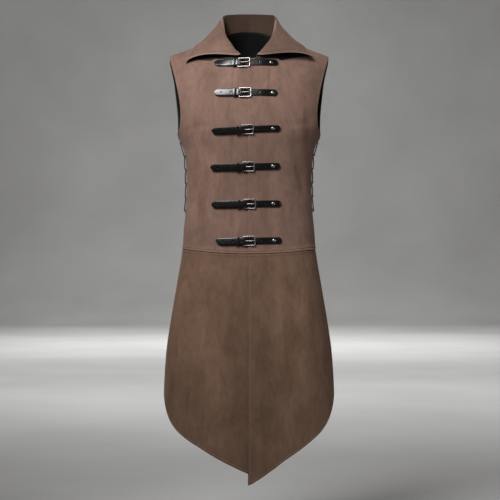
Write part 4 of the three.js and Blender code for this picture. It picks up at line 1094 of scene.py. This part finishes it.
thread = polyester_thread()
ACROSS, UP = 0, 1
for hand, wearers in ((-1, "right"), (1, "left")):
    rows = [line_at(fronts[hand], ACROSS, STITCH_MARGIN, last=True)]
    rows += [line_at(fronts[hand], UP, height, ends=STITCH_MARGIN) for height in WAIST_ROWS]
    skirt_rows = [line_at(skirts[hand], ACROSS, STITCH_MARGIN, ends=STITCH_MARGIN, last=True),
                  line_at(skirts[hand], UP, STITCH_MARGIN, ends=STITCH_MARGIN)]
    if hand > 0:
        rows.append(line_at(fronts[hand], ACROSS, STITCH_MARGIN, ends=STITCH_MARGIN))
        skirt_rows.append(line_at(skirts[hand], ACROSS, STITCH_MARGIN, ends=STITCH_MARGIN))
    sewn_rows("topstitch_front_" + wearers, rows, [front_shells[hand]])
    sewn_rows("topstitch_skirt_" + wearers, skirt_rows, [skirt_shells[hand]])
back_rows = [line_at(back_points, ACROSS, STITCH_MARGIN, last=last) for last in (False, True)]
back_rows += [line_at(back_points, UP, height, ends=STITCH_MARGIN) for height in WAIST_ROWS]
sewn_rows("topstitch_back", back_rows, [back])
back_skirt_rows = [line_at(back_skirt_points, ACROSS, STITCH_MARGIN, ends=STITCH_MARGIN, last=last)
                   for last in (False, True)]
back_skirt_rows.append(line_at(back_skirt_points, UP, STITCH_MARGIN, ends=STITCH_MARGIN))
sewn_rows("topstitch_skirt_back", back_skirt_rows, [back_skirt])
collar_rows = [line_at(collar_points, UP, COLLAR_ROW, ends=COLLAR_ROW, last=True)]
collar_rows += [line_at(collar_points, ACROSS, COLLAR_ROW, ends=COLLAR_ROW, last=last)
                for last in (False, True)]
sewn_rows("topstitch_collar", collar_rows, [upper_collar])


# ---------------------------------------------------------------------------------------------
# The six straps: black patent leather, cut to a bullet tip, punched for the prong along their length
# and riveted to the wearer's left front. Each is made flat and then laid over the chest.
Closure = collections.namedtuple("Closure", "z drop tip point end bar rivet keeper")

# height at the rivet, how much lower the tip hangs, the tip and how high its point sits, the round
# end, the buckle's outer bar, the rivet and the keeper along X
CLOSURES = [Closure(*(size * MM for size in row)) for row in (
    (-42, 2, -84, 0, 70, 1.5, 54, -36),
    (-118, 0, -84, 0, 69, 4.5, 57.5, -35),
    (-205, 6, -89, 1, 76, 10, 58, -28),
    (-296, 3, -92, 1, 76, 12, 58, -28),
    (-387, 2, -90, 0, 78, 15, 59, -26),
    (-477, 3, -80, 4, 80, 14, 61, -28),
)]
SEAT = 0.5 * MM
STRAP_HALF = 8 * MM
STRAP_THICKNESS = 1.6 * MM
STRAP_CROWN = 0.35 * MM
BULLET = ((13, 8), (6, 6.6), (2, 4.2), (0.4, 2))
BUCKLE_SPAN = 28 * MM
OVER_HEEL = 7 * MM
TAIL_HEIGHT = 4 * MM
# How far from the hinge bar the tail rises to the buckle, and the strap comes down to the cloth.
TAIL_RISE = (-12 * MM, -4 * MM)
STRAP_FALL = (4 * MM, 22 * MM)
PRONG_HALF = 1.1 * MM
SLOT_WIDTH = 2 * (PRONG_HALF + 0.6 * MM)
SLOT_START = 5.5 * MM
SLOT_LENGTH = 13 * MM
CUT_THROUGH = 20 * MM
PUNCH_RADIUS = 2.2 * MM
PUNCH_DEPTH = 1.3 * MM
FIRST_HOLE = 18 * MM
HOLE_PITCH = 22.5 * MM
HOLE_CLEAR = 3 * MM
HOLE_END = 9 * MM
ROUNDED_ANGLE = math.radians(40)


def patent_leather():
    """Patent leather: hide under a clear lacquer, so it is black and mirrors lights sharply, with the
    slow waves of the hide and a fine orange peel in the lacquer."""
    material, tree, shader = new_material("black_patent_leather", {
        "Roughness": 0.35, "IOR": 1.5, "Specular IOR Level": 0.2,
        "Coat Weight": 0.75, "Coat Roughness": 0.25, "Coat IOR": 1.5,
    })
    place = add_node(tree, "ShaderNodeTexCoord").outputs["Object"]
    hide = add_node(tree, "ShaderNodeTexNoise", {"Scale": 1 / (11 * MM), "Detail": 3}, {"Vector": place})
    peel = add_node(tree, "ShaderNodeTexNoise", {"Scale": 1 / (2.2 * MM), "Detail": 2}, {"Vector": place})
    tree.links.new(colour_steps(tree, hide.outputs["Fac"], ((0.3, "#060607"), (0.7, "#0d0d0f"))),
                   shader.inputs["Base Color"])
    waves_bump = add_node(tree, "ShaderNodeBump", {"Strength": 0.35, "Distance": 0.6 * MM},
                          {"Height": hide.outputs["Fac"]})
    peel_bump = add_node(tree, "ShaderNodeBump", {"Strength": 0.25, "Distance": 0.08 * MM},
                         {"Height": peel.outputs["Fac"], "Normal": waves_bump.outputs["Normal"]})
    tree.links.new(peel_bump.outputs["Normal"], shader.inputs["Normal"])
    tree.links.new(peel_bump.outputs["Normal"], shader.inputs["Coat Normal"])
    return material


def strap_height(row, x):
    """The height of the strap's underside over the cloth."""
    heel = row.bar - BUCKLE_SPAN
    near = smoothstep((x - heel - STRAP_FALL[0]) / (STRAP_FALL[1] - STRAP_FALL[0]))
    far = smoothstep((x - heel - TAIL_RISE[0]) / (TAIL_RISE[1] - TAIL_RISE[0]))
    return np.where(x > heel, OVER_HEEL + (lap_lift(x) + SEAT - OVER_HEEL) * near,
                    TAIL_HEIGHT + (OVER_HEEL - TAIL_HEIGHT) * far)


def coordinates(piece):
    spots = np.empty(3 * len(piece.data.vertices))
    piece.data.vertices.foreach_get("co", spots)
    return spots.reshape(-1, 3)


def set_coordinates(piece, spots):
    piece.data.vertices.foreach_set("co", spots.ravel())
    piece.data.update()


def bent(piece, row):
    """Lays a piece that was made flat on the chest: x runs along the strap, y up it and z off it."""
    x, y, off = coordinates(piece).T
    z = row.z - row.drop * np.clip((row.rivet - x) / (row.rivet - row.tip), 0, 1)
    place, out, up = cloth_place(FRONT, angle_at_x(FRONT, x, z), z)
    set_coordinates(piece, place + out * off[:, None] + up * y[:, None])


def edit(piece):
    """Opens a piece in edit mode with all of it selected."""
    select_only(piece)
    bpy.ops.object.mode_set(mode="EDIT")
    bpy.ops.mesh.select_all(action="SELECT")


def faced_out():
    """Turns the faces of the piece that is being edited outwards, and leaves edit mode."""
    bpy.ops.mesh.select_all(action="SELECT")
    bpy.ops.mesh.normals_make_consistent(inside=False)
    bpy.ops.object.mode_set(mode="OBJECT")


def edit_edges(piece, chosen):
    """Opens a piece in edit mode with only some edges selected. chosen is asked of an edge's ends."""
    bpy.ops.object.mode_set(mode="EDIT")
    bpy.ops.mesh.select_all(action="DESELECT")
    bpy.ops.object.mode_set(mode="OBJECT")
    for edge in piece.data.edges:
        edge.select = chosen([piece.data.vertices[v].co for v in edge.vertices])
    bpy.ops.object.mode_set(mode="EDIT")


def trimmed(through, facing):
    """Cuts away what lies past a straight line across the strip that is being edited."""
    bpy.ops.mesh.select_all(action="SELECT")
    bpy.ops.mesh.bisect(plane_co=through, plane_no=Vector(facing).normalized(), clear_outer=True)


def slotted(piece, middle, size):
    """Cuts a box out of a piece that still lies flat."""
    deselect_all()
    bpy.ops.mesh.primitive_cube_add(size=1, location=middle)
    slot = bpy.context.object
    slot.scale = size
    cut_away(piece, slot)


def finished(name, piece, finish, edge):
    """Rounds a piece's sharp edges, names it and gives it its material."""
    piece.name = name
    piece.data.name = name
    if edge:
        rounded = piece.modifiers.new("rounded edge", "BEVEL")
        rounded.width = edge
        rounded.segments = 2
        rounded.limit_method = "ANGLE"
        rounded.angle_limit = ROUNDED_ANGLE
        apply_all(piece)
    piece.data.materials.clear()
    piece.data.materials.append(finish)
    select_only(piece)
    bpy.ops.object.shade_smooth_by_angle(angle=SMOOTH_ANGLE)


patent = patent_leather()
for number, row in enumerate(CLOSURES, 1):
    length = row.end - row.tip
    deselect_all()
    bpy.ops.mesh.primitive_grid_add(x_subdivisions=64, y_subdivisions=8, size=1,
                                    location=(row.tip + length / 2, 0, 0))
    strap = bpy.context.object
    strap.scale = (length, 2 * STRAP_HALF, 1)
    bpy.ops.object.transform_apply(location=True, rotation=False, scale=True)
    edit(strap)
    for hand in (-1, 1):
        marks = [Vector((row.tip + x * MM, hand * y * MM + row.point * (1 - y * MM / STRAP_HALF), 0))
                 for x, y in BULLET]
        for outer, inner in zip(marks, marks[1:]):
            slope = inner - outer
            trimmed(outer, (hand * slope.y, -hand * slope.x, 0))
    round_middle = Vector((row.end - STRAP_HALF, 0, 0))
    for turn in np.radians(np.arange(-75, 76, 15)):
        facing = Vector((math.cos(turn), math.sin(turn), 0))
        trimmed(round_middle + facing * STRAP_HALF, facing)
    bpy.ops.mesh.select_all(action="SELECT")
    bpy.ops.mesh.extrude_region_move(TRANSFORM_OT_translate={"value": (0, 0, STRAP_THICKNESS)})
    faced_out()
    heel = row.bar - BUCKLE_SPAN
    slotted(strap, (heel + SLOT_START + SLOT_LENGTH / 2, 0, 0), (SLOT_LENGTH, SLOT_WIDTH, CUT_THROUGH))
    holes = np.arange(row.tip + FIRST_HOLE, row.rivet - HOLE_END, HOLE_PITCH)
    clear = np.abs(holes - heel - SLOT_START - SLOT_LENGTH / 2) > SLOT_LENGTH / 2 + HOLE_CLEAR
    # Past the buckle the backing closes the holes from below, and the tail's go right through.
    depths = np.where(holes < heel, 2 * STRAP_THICKNESS, PUNCH_DEPTH)
    punched(strap, [((x, 0, STRAP_THICKNESS - depth + PUNCH_REACH), (0, 0, 1))
                    for x, depth in zip(holes[clear], depths[clear])], PUNCH_RADIUS)
    finished("patent_strap_%d" % number, strap, patent, 0.45 * MM)
    spots = coordinates(strap)
    crowned = STRAP_CROWN * (1 - (spots[:, 1] / STRAP_HALF) ** 2) * (spots[:, 2] > 0.6 * STRAP_THICKNESS)
    spots[:, 2] += strap_height(row, spots[:, 0]) + crowned
    set_coordinates(strap, spots)
    bent(strap, row)
    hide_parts("strap_%d" % number)
    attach(strap, "root")


# ---------------------------------------------------------------------------------------------
# The chapes: a short strap sewn to the wearer's right front, folded round the buckle's hinge bar and
# slotted for the prong, with a loop round it, the keeper, that holds the strap's tail down.
CHAPE_SHORT = 8 * MM
CHAPE_PLY = 1.4 * MM
CHAPE_THICKNESS = 3 * MM
CHAPE_LOOP = 3.1 * MM
CHAPE_SLOT_FLOOR = 0.8 * MM
CHAPE_SLOT_DEPTH = 10 * MM
HEEL_HEIGHT = 3.5 * MM
KEEPER_HALF = 3.5 * MM
KEEPER_THICKNESS = 1.4 * MM
KEEPER_CLEAR = 0.6 * MM
KEEPER_BEND = 1.2 * MM


def drawn_band(route, y_low, y_high, ply, joined=False):
    """A band of leather bent along a route of (x, z) places, from one width mark to the other. The
    leather's thickness lies on the left of the route."""
    deselect_all()
    first, second = route[0], route[1]
    bpy.ops.mesh.primitive_plane_add(size=1)
    band = bpy.context.object
    corners = [(first[0], y_low, first[1]), (second[0], y_low, second[1]),
               (first[0], y_high, first[1]), (second[0], y_high, second[1])]
    for vertex, corner in zip(band.data.vertices, corners):
        vertex.co = corner
    for before, after in zip(route[1:], route[2:]):
        edit_edges(band, lambda ends: all(
            abs(end.x - before[0]) + abs(end.z - before[1]) < 1e-6 for end in ends))
        bpy.ops.mesh.extrude_region_move(TRANSFORM_OT_translate={
            "value": (after[0] - before[0], 0, after[1] - before[1])})
    if joined:
        bpy.ops.mesh.select_all(action="SELECT")
        bpy.ops.mesh.remove_doubles(threshold=1e-6)
    faced_out()
    wall = band.modifiers.new("ply", "SOLIDIFY")
    wall.thickness = ply
    wall.offset = 0
    wall.use_even_offset = True
    apply_all(band)
    return band


for number, row in enumerate(CLOSURES, 1):
    heel = row.bar - BUCKLE_SPAN
    start = row.tip + CHAPE_SHORT
    low, high = SEAT + CHAPE_PLY / 2, SEAT + CHAPE_THICKNESS - CHAPE_PLY / 2
    ring = CHAPE_LOOP - CHAPE_PLY / 2
    route = [(x, low) for x in np.linspace(start, heel - CHAPE_LOOP, 9)]
    route += [(heel + ring * math.cos(t), HEEL_HEIGHT + ring * math.sin(t))
              for t in np.radians(np.arange(-110, 141, 25))]
    route += [(x, high) for x in np.linspace(heel - CHAPE_LOOP - 2 * MM, start, 9)]
    chape = drawn_band(route, -STRAP_HALF, STRAP_HALF, CHAPE_PLY)
    slotted(chape, (heel + CHAPE_LOOP / 2, 0, SEAT + CHAPE_SLOT_FLOOR + CHAPE_SLOT_DEPTH / 2),
            (3 * CHAPE_LOOP, SLOT_WIDTH, CHAPE_SLOT_DEPTH))
    finished("patent_chape_%d" % number, chape, patent, 0.3 * MM)
    bent(chape, row)
    inside = float(strap_height(row, np.array(row.keeper + KEEPER_HALF)))
    inside += STRAP_THICKNESS + KEEPER_CLEAR
    half = STRAP_HALF + KEEPER_CLEAR + KEEPER_THICKNESS / 2
    bottom, top = SEAT + KEEPER_THICKNESS / 2, inside + KEEPER_THICKNESS / 2
    bend = KEEPER_BEND
    loop = [(side * (half - bend) + bend * math.cos(t), level + bend * math.sin(t))
            for side, level, turns in ((1, top - bend, (0, 30, 60, 90)),
                                       (-1, top - bend, (90, 120, 150, 180)),
                                       (-1, bottom + bend, (180, 210, 240, 270)),
                                       (1, bottom + bend, (270, 300, 330, 360)))
            for t in np.radians(turns)]
    keeper = drawn_band(loop + loop[:1], -KEEPER_HALF, KEEPER_HALF, KEEPER_THICKNESS, joined=True)
    finished("patent_keeper_%d" % number, keeper, patent, 0.35 * MM)
    across_strap = coordinates(keeper)
    set_coordinates(keeper, np.stack([
        row.keeper + across_strap[:, 1], -across_strap[:, 0], across_strap[:, 2]], axis=1))
    bent(keeper, row)
    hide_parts("chape_%d" % number)
    for piece in (chape, keeper):
        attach(piece, "root")


# ---------------------------------------------------------------------------------------------
# The buckles: nickel-plated frames of flat wire with one prong, hooked through the strap and resting
# on the outer bar, which the strap lifts off the chest.
BUCKLE_HALF = 11 * MM
BUCKLE_WIRE = 2.6 * MM
BUCKLE_THICKNESS = 2.2 * MM
BAR_HEIGHT = 6.4 * MM
BUCKLE_CORNER = 3.4 * MM
COIL_RADIUS = 2.25 * MM
COIL_WIRE = 0.8 * MM
PRONG_PAST = 2.5 * MM


def nickel_plate():
    """Nickel plate on steel, tumbled bright: a warm grey mirror with fine haze and worn patches."""
    material, tree, shader = new_material("bright_nickel_plate", {
        "Base Color": linear("#95928d"), "Metallic": 1.0,
    })
    place = add_node(tree, "ShaderNodeTexCoord").outputs["Object"]
    haze = add_node(tree, "ShaderNodeTexNoise", {"Scale": 1 / (3 * MM), "Detail": 4}, {"Vector": place})
    rough = add_node(tree, "ShaderNodeMapRange", {"To Min": 0.26, "To Max": 0.46},
                     {"Value": haze.outputs["Fac"]})
    tree.links.new(rough.outputs["Result"], shader.inputs["Roughness"])
    dents = add_node(tree, "ShaderNodeBump", {"Strength": 0.1, "Distance": 0.1 * MM},
                     {"Height": haze.outputs["Fac"]})
    tree.links.new(dents.outputs["Normal"], shader.inputs["Normal"])
    return material


nickel = nickel_plate()
for number, row in enumerate(CLOSURES, 1):
    heel = row.bar - BUCKLE_SPAN
    deselect_all()
    bpy.ops.mesh.primitive_plane_add(size=1)
    buckle = bpy.context.object
    buckle.scale = (BUCKLE_SPAN + BUCKLE_WIRE, 2 * BUCKLE_HALF + BUCKLE_WIRE, 1)
    bpy.ops.object.transform_apply(location=False, rotation=False, scale=True)
    edit(buckle)
    bpy.ops.mesh.bevel(offset=BUCKLE_CORNER, segments=5, affect="VERTICES")
    bpy.ops.mesh.select_all(action="SELECT")
    bpy.ops.mesh.inset(thickness=BUCKLE_WIRE)
    bpy.ops.mesh.delete(type="FACE")
    bpy.ops.mesh.select_all(action="SELECT")
    bpy.ops.mesh.extrude_region_move(TRANSFORM_OT_translate={"value": (0, 0, BUCKLE_THICKNESS)})
    faced_out()
    finished("nickel_frame_%d" % number, buckle, nickel, 0.75 * MM)
    spots = coordinates(buckle)
    climb = (spots[:, 0] / BUCKLE_SPAN + 0.5) * (BAR_HEIGHT - HEEL_HEIGHT)
    spots += (heel + BUCKLE_SPAN / 2, 0, HEEL_HEIGHT - BUCKLE_THICKNESS / 2)
    spots[:, 2] += climb
    set_coordinates(buckle, spots)
    bent(buckle, row)

    # The prong: a bar of round wire, coiled once round the hinge bar, rising to the outer bar.
    over_bar = BAR_HEIGHT + BUCKLE_THICKNESS / 2
    rise = [(heel + 2.4 * MM, HEEL_HEIGHT + 1.2 * MM), (heel + 8 * MM, HEEL_HEIGHT + 2 * MM),
            (heel + 17 * MM, over_bar - 0.4 * MM), (row.bar - 2 * MM, over_bar + 0.6 * MM),
            (row.bar + PRONG_PAST - 1 * MM, over_bar + 0.5 * MM),
            (row.bar + PRONG_PAST, over_bar + 0.2 * MM)]
    widths = (1.1, 1.1, 1.1, 1.05, 0.9, 0.55)
    deselect_all()
    bpy.ops.mesh.primitive_cylinder_add(vertices=12, radius=PRONG_HALF * widths[0], depth=0.2 * MM,
                                        rotation=(0, math.pi / 2, 0), location=(rise[0][0], 0, rise[0][1]))
    prong = bpy.context.object
    bpy.ops.object.transform_apply(location=True, rotation=True, scale=True)
    for before, after, width, next_width in zip(rise, rise[1:], widths, widths[1:]):
        bpy.ops.object.mode_set(mode="EDIT")
        bpy.ops.mesh.select_all(action="DESELECT")
        bpy.ops.object.mode_set(mode="OBJECT")
        tip = max(prong.data.polygons, key=lambda face: face.center.x * (face.area > 0) + face.normal.x)
        tip.select = True
        bpy.ops.object.mode_set(mode="EDIT")
        bpy.ops.mesh.extrude_region_move(TRANSFORM_OT_translate={
            "value": (after[0] - before[0], 0, after[1] - before[1])})
        bpy.ops.transform.resize(value=(1, next_width / width, next_width / width))
    bpy.ops.object.mode_set(mode="OBJECT")
    deselect_all()
    bpy.ops.mesh.primitive_torus_add(major_segments=24, minor_segments=10, major_radius=COIL_RADIUS,
                                     minor_radius=COIL_WIRE, rotation=(math.pi / 2, 0, 0),
                                     location=(heel, 0, HEEL_HEIGHT))
    bpy.ops.object.transform_apply(location=True, rotation=True, scale=True)
    prong.select_set(True)
    bpy.context.view_layer.objects.active = prong
    bpy.ops.object.join()
    finished("nickel_prong_%d" % number, prong, nickel, 0)
    bent(prong, row)
    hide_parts("buckle_%d" % number)
    for piece in (buckle, prong):
        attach(piece, "root")


# ---------------------------------------------------------------------------------------------
# The rivets: domed nickel caps pressed through the strap and the front.
RIVET_RADIUS = 4.5 * MM
RIVET_HEIGHT = 2 * MM

for number, row in enumerate(CLOSURES, 1):
    deselect_all()
    bpy.ops.mesh.primitive_uv_sphere_add(segments=28, ring_count=16, radius=RIVET_RADIUS)
    rivet = bpy.context.object
    rivet.scale = (1, 1, RIVET_HEIGHT / RIVET_RADIUS)
    bpy.ops.object.transform_apply(location=False, rotation=False, scale=True)
    edit(rivet)
    bpy.ops.mesh.bisect(plane_co=(0, 0, 0.1 * RIVET_HEIGHT), plane_no=(0, 0, 1), clear_inner=True,
                        use_fill=True)
    bpy.ops.object.mode_set(mode="OBJECT")
    finished("nickel_rivet_%d" % number, rivet, nickel, 0)
    base = float(strap_height(row, np.array(row.rivet))) + STRAP_THICKNESS + STRAP_CROWN
    set_coordinates(rivet, coordinates(rivet) + (row.rivet, 0, base - 0.05 * RIVET_HEIGHT))
    bent(rivet, row)
    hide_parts("rivet_%d" % number)
    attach(rivet, "root")


# ---------------------------------------------------------------------------------------------
# The eyelets: 24 rolled nickel rings, six down each edge of both laced sides, each with its barrel
# through the cloth.
EYELET_OUTER = 4.4 * MM
EYELET_INNER = 2.3 * MM
EYELET_SEAT = 0.6 * MM
EYELET_HEIGHT = 1.7 * MM

deselect_all()
roll_radius = (EYELET_OUTER - EYELET_INNER) / 2
bpy.ops.mesh.primitive_torus_add(major_segments=32, minor_segments=12, minor_radius=roll_radius,
                                 major_radius=(EYELET_OUTER + EYELET_INNER) / 2)
pattern = bpy.context.object
edit(pattern)
bpy.ops.mesh.bisect(plane_co=(0, 0, 0), plane_no=(0, 0, 1), clear_inner=True)
edit_edges(pattern, lambda ends: all(
    math.hypot(end.x, end.y) < EYELET_INNER + 0.1 * MM and abs(end.z) < 0.01 * MM for end in ends))
bpy.ops.mesh.extrude_region_move(TRANSFORM_OT_translate={"value": (0, 0, -(SUEDE + EYELET_SEAT))})
faced_out()
barrel = pattern.modifiers.new("barrel", "SOLIDIFY")
barrel.thickness = 0.25 * MM
barrel.offset = -1
apply_all(pattern)
flat_ring = coordinates(pattern)
flat_ring[:, 2] *= np.where(flat_ring[:, 2] > 0, (EYELET_HEIGHT - EYELET_SEAT) / roll_radius, 1)

for hand, wearers in ((-1, "right"), (1, "left")):
    for side, edge_name in ((FRONT, "front"), (BACK, "back")):
        for level in range(EYELET_LEVELS):
            name = "%s_%s_%d" % (wearers, edge_name, level + 1)
            ring = placed("nickel_eyelet_" + name, pattern.data.copy())
            place, out, _ = eyelet_place(side, hand, level)
            turn = np.array(Vector((0, 0, 1)).rotation_difference(Vector(out)).to_matrix())
            set_coordinates(ring, place + out * EYELET_SEAT + flat_ring @ turn.T)
            finished(ring.name, ring, nickel, 0)
            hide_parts("eyelet_" + name)
            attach(ring, "root")
bpy.data.objects.remove(pattern)


# ---------------------------------------------------------------------------------------------
# The laces: one black braided cord a side. It starts inside at the top front eyelet, and runs down
# outside from each back eyelet to the next front one and inside straight back.
CORD_RADIUS = 1.4 * MM
CORD_OVER = 3.5 * MM
CORD_ACROSS = 2.5 * MM
CORD_UNDER = -4.6 * MM
CORD_SIDES = 14
CORD_SEAT = 1 * MM
CORD_BEND = 0.6  # it turns at this share of the way from the side line to an eyelet
CORD_FINE = 6


def braided_cord():
    """Braided polyester cord: crossing strands with a dull gloss and dark gaps between them."""
    material, tree, shader = new_material("black_braided_cord", {
        "Roughness": 0.6, "Specular IOR Level": 0.35, "Sheen Weight": 0.3, "Sheen Roughness": 0.4,
    })
    wrap = add_node(tree, "ShaderNodeUVMap", {"uv_map": "cord"}).outputs["UV"]
    ridges = []
    for turn in (45, -45):
        slant = add_node(tree, "ShaderNodeMapping", {"Rotation": (0, 0, math.radians(turn))},
                         {"Vector": wrap})
        ridges.append(add_node(tree, "ShaderNodeTexWave", {"Scale": 1 / (2 * math.pi * 0.9 * MM)},
                               {"Vector": slant.outputs["Vector"]}).outputs["Fac"])
    strands = add_node(tree, "ShaderNodeMath", {"operation": "MAXIMUM"}, {0: ridges[0], 1: ridges[1]})
    tree.links.new(colour_steps(tree, strands.outputs[0], ((0.3, "#0b0b0b"), (0.9, "#1d1c1d"))),
                   shader.inputs["Base Color"])
    bump = add_node(tree, "ShaderNodeBump", {"Strength": 0.6, "Distance": 0.25 * MM},
                    {"Height": strands.outputs[0]})
    tree.links.new(bump.outputs["Normal"], shader.inputs["Normal"])
    return material


def cord_place(hand, distance, z, height):
    """A place over or under the cloth, at a distance before (or, below 0, behind) the side line."""
    side = BACK if distance < 0 else FRONT
    angle = angle_at_distance(side, np.array(abs(distance)), np.array(z))
    place, out, _ = cloth_place(side, hand * angle, np.array(z))
    return place + out * height


def cord_reach(z):
    return float(laced_half(np.array(z))) + EYELET_INSET


cord_finish = braided_cord()
through = (CORD_UNDER, -SUEDE - CORD_RADIUS / 2, CORD_SEAT, CORD_OVER)
for hand, wearers in ((-1, "right"), (1, "left")):
    route = []
    for level in range(EYELET_LEVELS):
        z = EYELET_TOP_Z + EYELET_STEP_Z * level
        route += [cord_place(hand, share * cord_reach(z), z, CORD_UNDER)
                  for share in (CORD_BEND, 0, -CORD_BEND)]
        if level == EYELET_LEVELS - 1:
            break
        route += [cord_place(hand, -cord_reach(z), z, height) for height in through]
        lower = z + EYELET_STEP_Z
        for share in (-CORD_BEND, 0, CORD_BEND):
            at = z + (lower - z) * (share + 1) / 2
            route.append(cord_place(hand, share * cord_reach(at), at, CORD_ACROSS))
        route += [cord_place(hand, cord_reach(lower), lower, height) for height in reversed(through)]
    route = np.array(route)
    knots = np.arange(len(route), dtype=float)
    fine = np.arange(0, len(route) - 1 + 1e-9, 1 / CORD_FINE)
    path = np.stack([curve_through(knots, route[:, k], fine) for k in range(3)], axis=1)
    way = unit(np.gradient(path, axis=0))
    beside = [np.cross(way[0], (0.0, 0.0, 1.0))]
    for direction in way[1:]:
        beside.append(beside[-1] - direction * (beside[-1] @ direction))
        beside[-1] /= np.linalg.norm(beside[-1])
    beside = unit(np.array(beside))
    above = np.cross(way, beside)
    turns = 2 * math.pi * np.arange(CORD_SIDES + 1) / CORD_SIDES
    rings = (path[:, None] + CORD_RADIUS * (beside[:, None] * np.cos(turns)[:-1, None]
                                            + above[:, None] * np.sin(turns)[:-1, None]))
    count = len(path)
    faces, weave = [], []
    along = walked(path)
    for i in range(count - 1):
        for j in range(CORD_SIDES):
            k = (j + 1) % CORD_SIDES
            faces.append((i * CORD_SIDES + j, i * CORD_SIDES + k, (i + 1) * CORD_SIDES + k,
                          (i + 1) * CORD_SIDES + j))
            u0, u1 = turns[j] * CORD_RADIUS, turns[j + 1] * CORD_RADIUS
            weave += [(u0, along[i]), (u1, along[i]), (u1, along[i + 1]), (u0, along[i + 1])]
    for end, order in ((0, 1), (count - 1, -1)):
        cap = [end * CORD_SIDES + j for j in range(CORD_SIDES)][::-order]
        faces.append(cap)
        weave += [(0, along[end])] * CORD_SIDES
    mesh = bpy.data.meshes.new("braided_lace_" + wearers)
    mesh.from_pydata(rings.reshape(-1, 3).tolist(), [], faces)
    mesh.uv_layers.new(name="cord").data.foreach_set("uv", np.array(weave, dtype=np.float32).ravel())
    lace = placed("braided_lace_" + wearers, mesh)
    edit(lace)
    faced_out()
    finished(lace.name, lace, cord_finish, 0)
    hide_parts("lace_" + wearers)
    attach(lace, "root")


# ---------------------------------------------------------------------------------------------
# The studio: a pale paper floor that curves up into a backdrop, a soft light in front on the camera's
# left, a weaker and lower one on its right, and one each for the floor behind and the backdrop.
FLOOR_Z = -1.25
BACKDROP_HEIGHT = 9
COVE_RADIUS = 3.0
CAMERA_DISTANCE = 4.0
CAMERA_X = 2.5 * MM
CAMERA_Z = -0.5
FRAME_WIDTH = 1.25
SENSOR = 36.0

bpy.ops.mesh.primitive_plane_add(size=1, location=(0, 4.5, FLOOR_Z))
floor = bpy.context.object
floor.name = "studio_floor"
floor.scale = (40, 21, 1)
bpy.ops.object.transform_apply(location=True, rotation=False, scale=True)
edit_edges(floor, lambda ends: all(end.y > 0 for end in ends))
bpy.ops.mesh.extrude_region_move(TRANSFORM_OT_translate={"value": (0, 0, BACKDROP_HEIGHT)})
edit_edges(floor, lambda ends: all(end.y > 0 and end.z < FLOOR_Z + 0.1 for end in ends))
bpy.ops.mesh.bevel(offset=COVE_RADIUS, segments=24, affect="EDGES")
bpy.ops.object.mode_set(mode="OBJECT")
bpy.ops.object.shade_smooth()
paper, paper_tree, paper_shader = new_material("matt_backdrop_paper", {"Roughness": 0.95})
paper_place = add_node(paper_tree, "ShaderNodeTexCoord").outputs["Object"]
paper_noise = add_node(paper_tree, "ShaderNodeTexNoise", {"Scale": 0.9, "Detail": 4},
                       {"Vector": paper_place})
paper_tree.links.new(
    colour_steps(paper_tree, paper_noise.outputs["Fac"], ((0.3, "#c3c3c2"), (0.7, "#d2d2d1"))),
    paper_shader.inputs["Base Color"])
floor.data.materials.append(paper)


def soft_light(name, place, aim, size, watts, spread=180):
    lamp = bpy.data.lights.new(name, "AREA")
    lamp.shape = "RECTANGLE"
    lamp.size, lamp.size_y = size
    lamp.energy = watts
    lamp.spread = math.radians(spread)
    light = placed(name, lamp)
    light.location = place
    light.rotation_euler = (Vector(aim) - Vector(place)).to_track_quat("-Z", "Y").to_euler()


soft_light("key_softbox", (-0.72, -1.45, 0.86), (0.0, -0.1, -0.27), (0.9, 0.9), 7.5, spread=62)
soft_light("side_softbox", (2.0, -1.1, -0.6), (0.1, 0, -0.72), (0.9, 1.2), 1.9, spread=80)
soft_light("floor_light", (0, 4.4, 2.8), (0, 5.0, -1.25), (5.0, 3.0), 112, spread=130)
soft_light("backdrop_light", (0, 8.0, 1.9), (0, 12.6, -1.6), (4.0, 1.2), 195)

world = bpy.data.worlds.new("studio_room")
world.use_nodes = True
world.node_tree.nodes["Background"].inputs["Color"].default_value = linear("#f2e8de")
world.node_tree.nodes["Background"].inputs["Strength"].default_value = 0.05
bpy.context.scene.world = world
bpy.context.scene.view_settings.view_transform = "Standard"

eye = bpy.data.cameras.new("camera")
eye.sensor_width = SENSOR
eye.lens = SENSOR * CAMERA_DISTANCE / FRAME_WIDTH
camera = placed("camera", eye)
camera.location = (CAMERA_X, -CAMERA_DISTANCE, CAMERA_Z)
camera.rotation_euler = (math.pi / 2, 0, 0)
bpy.context.scene.camera = camera
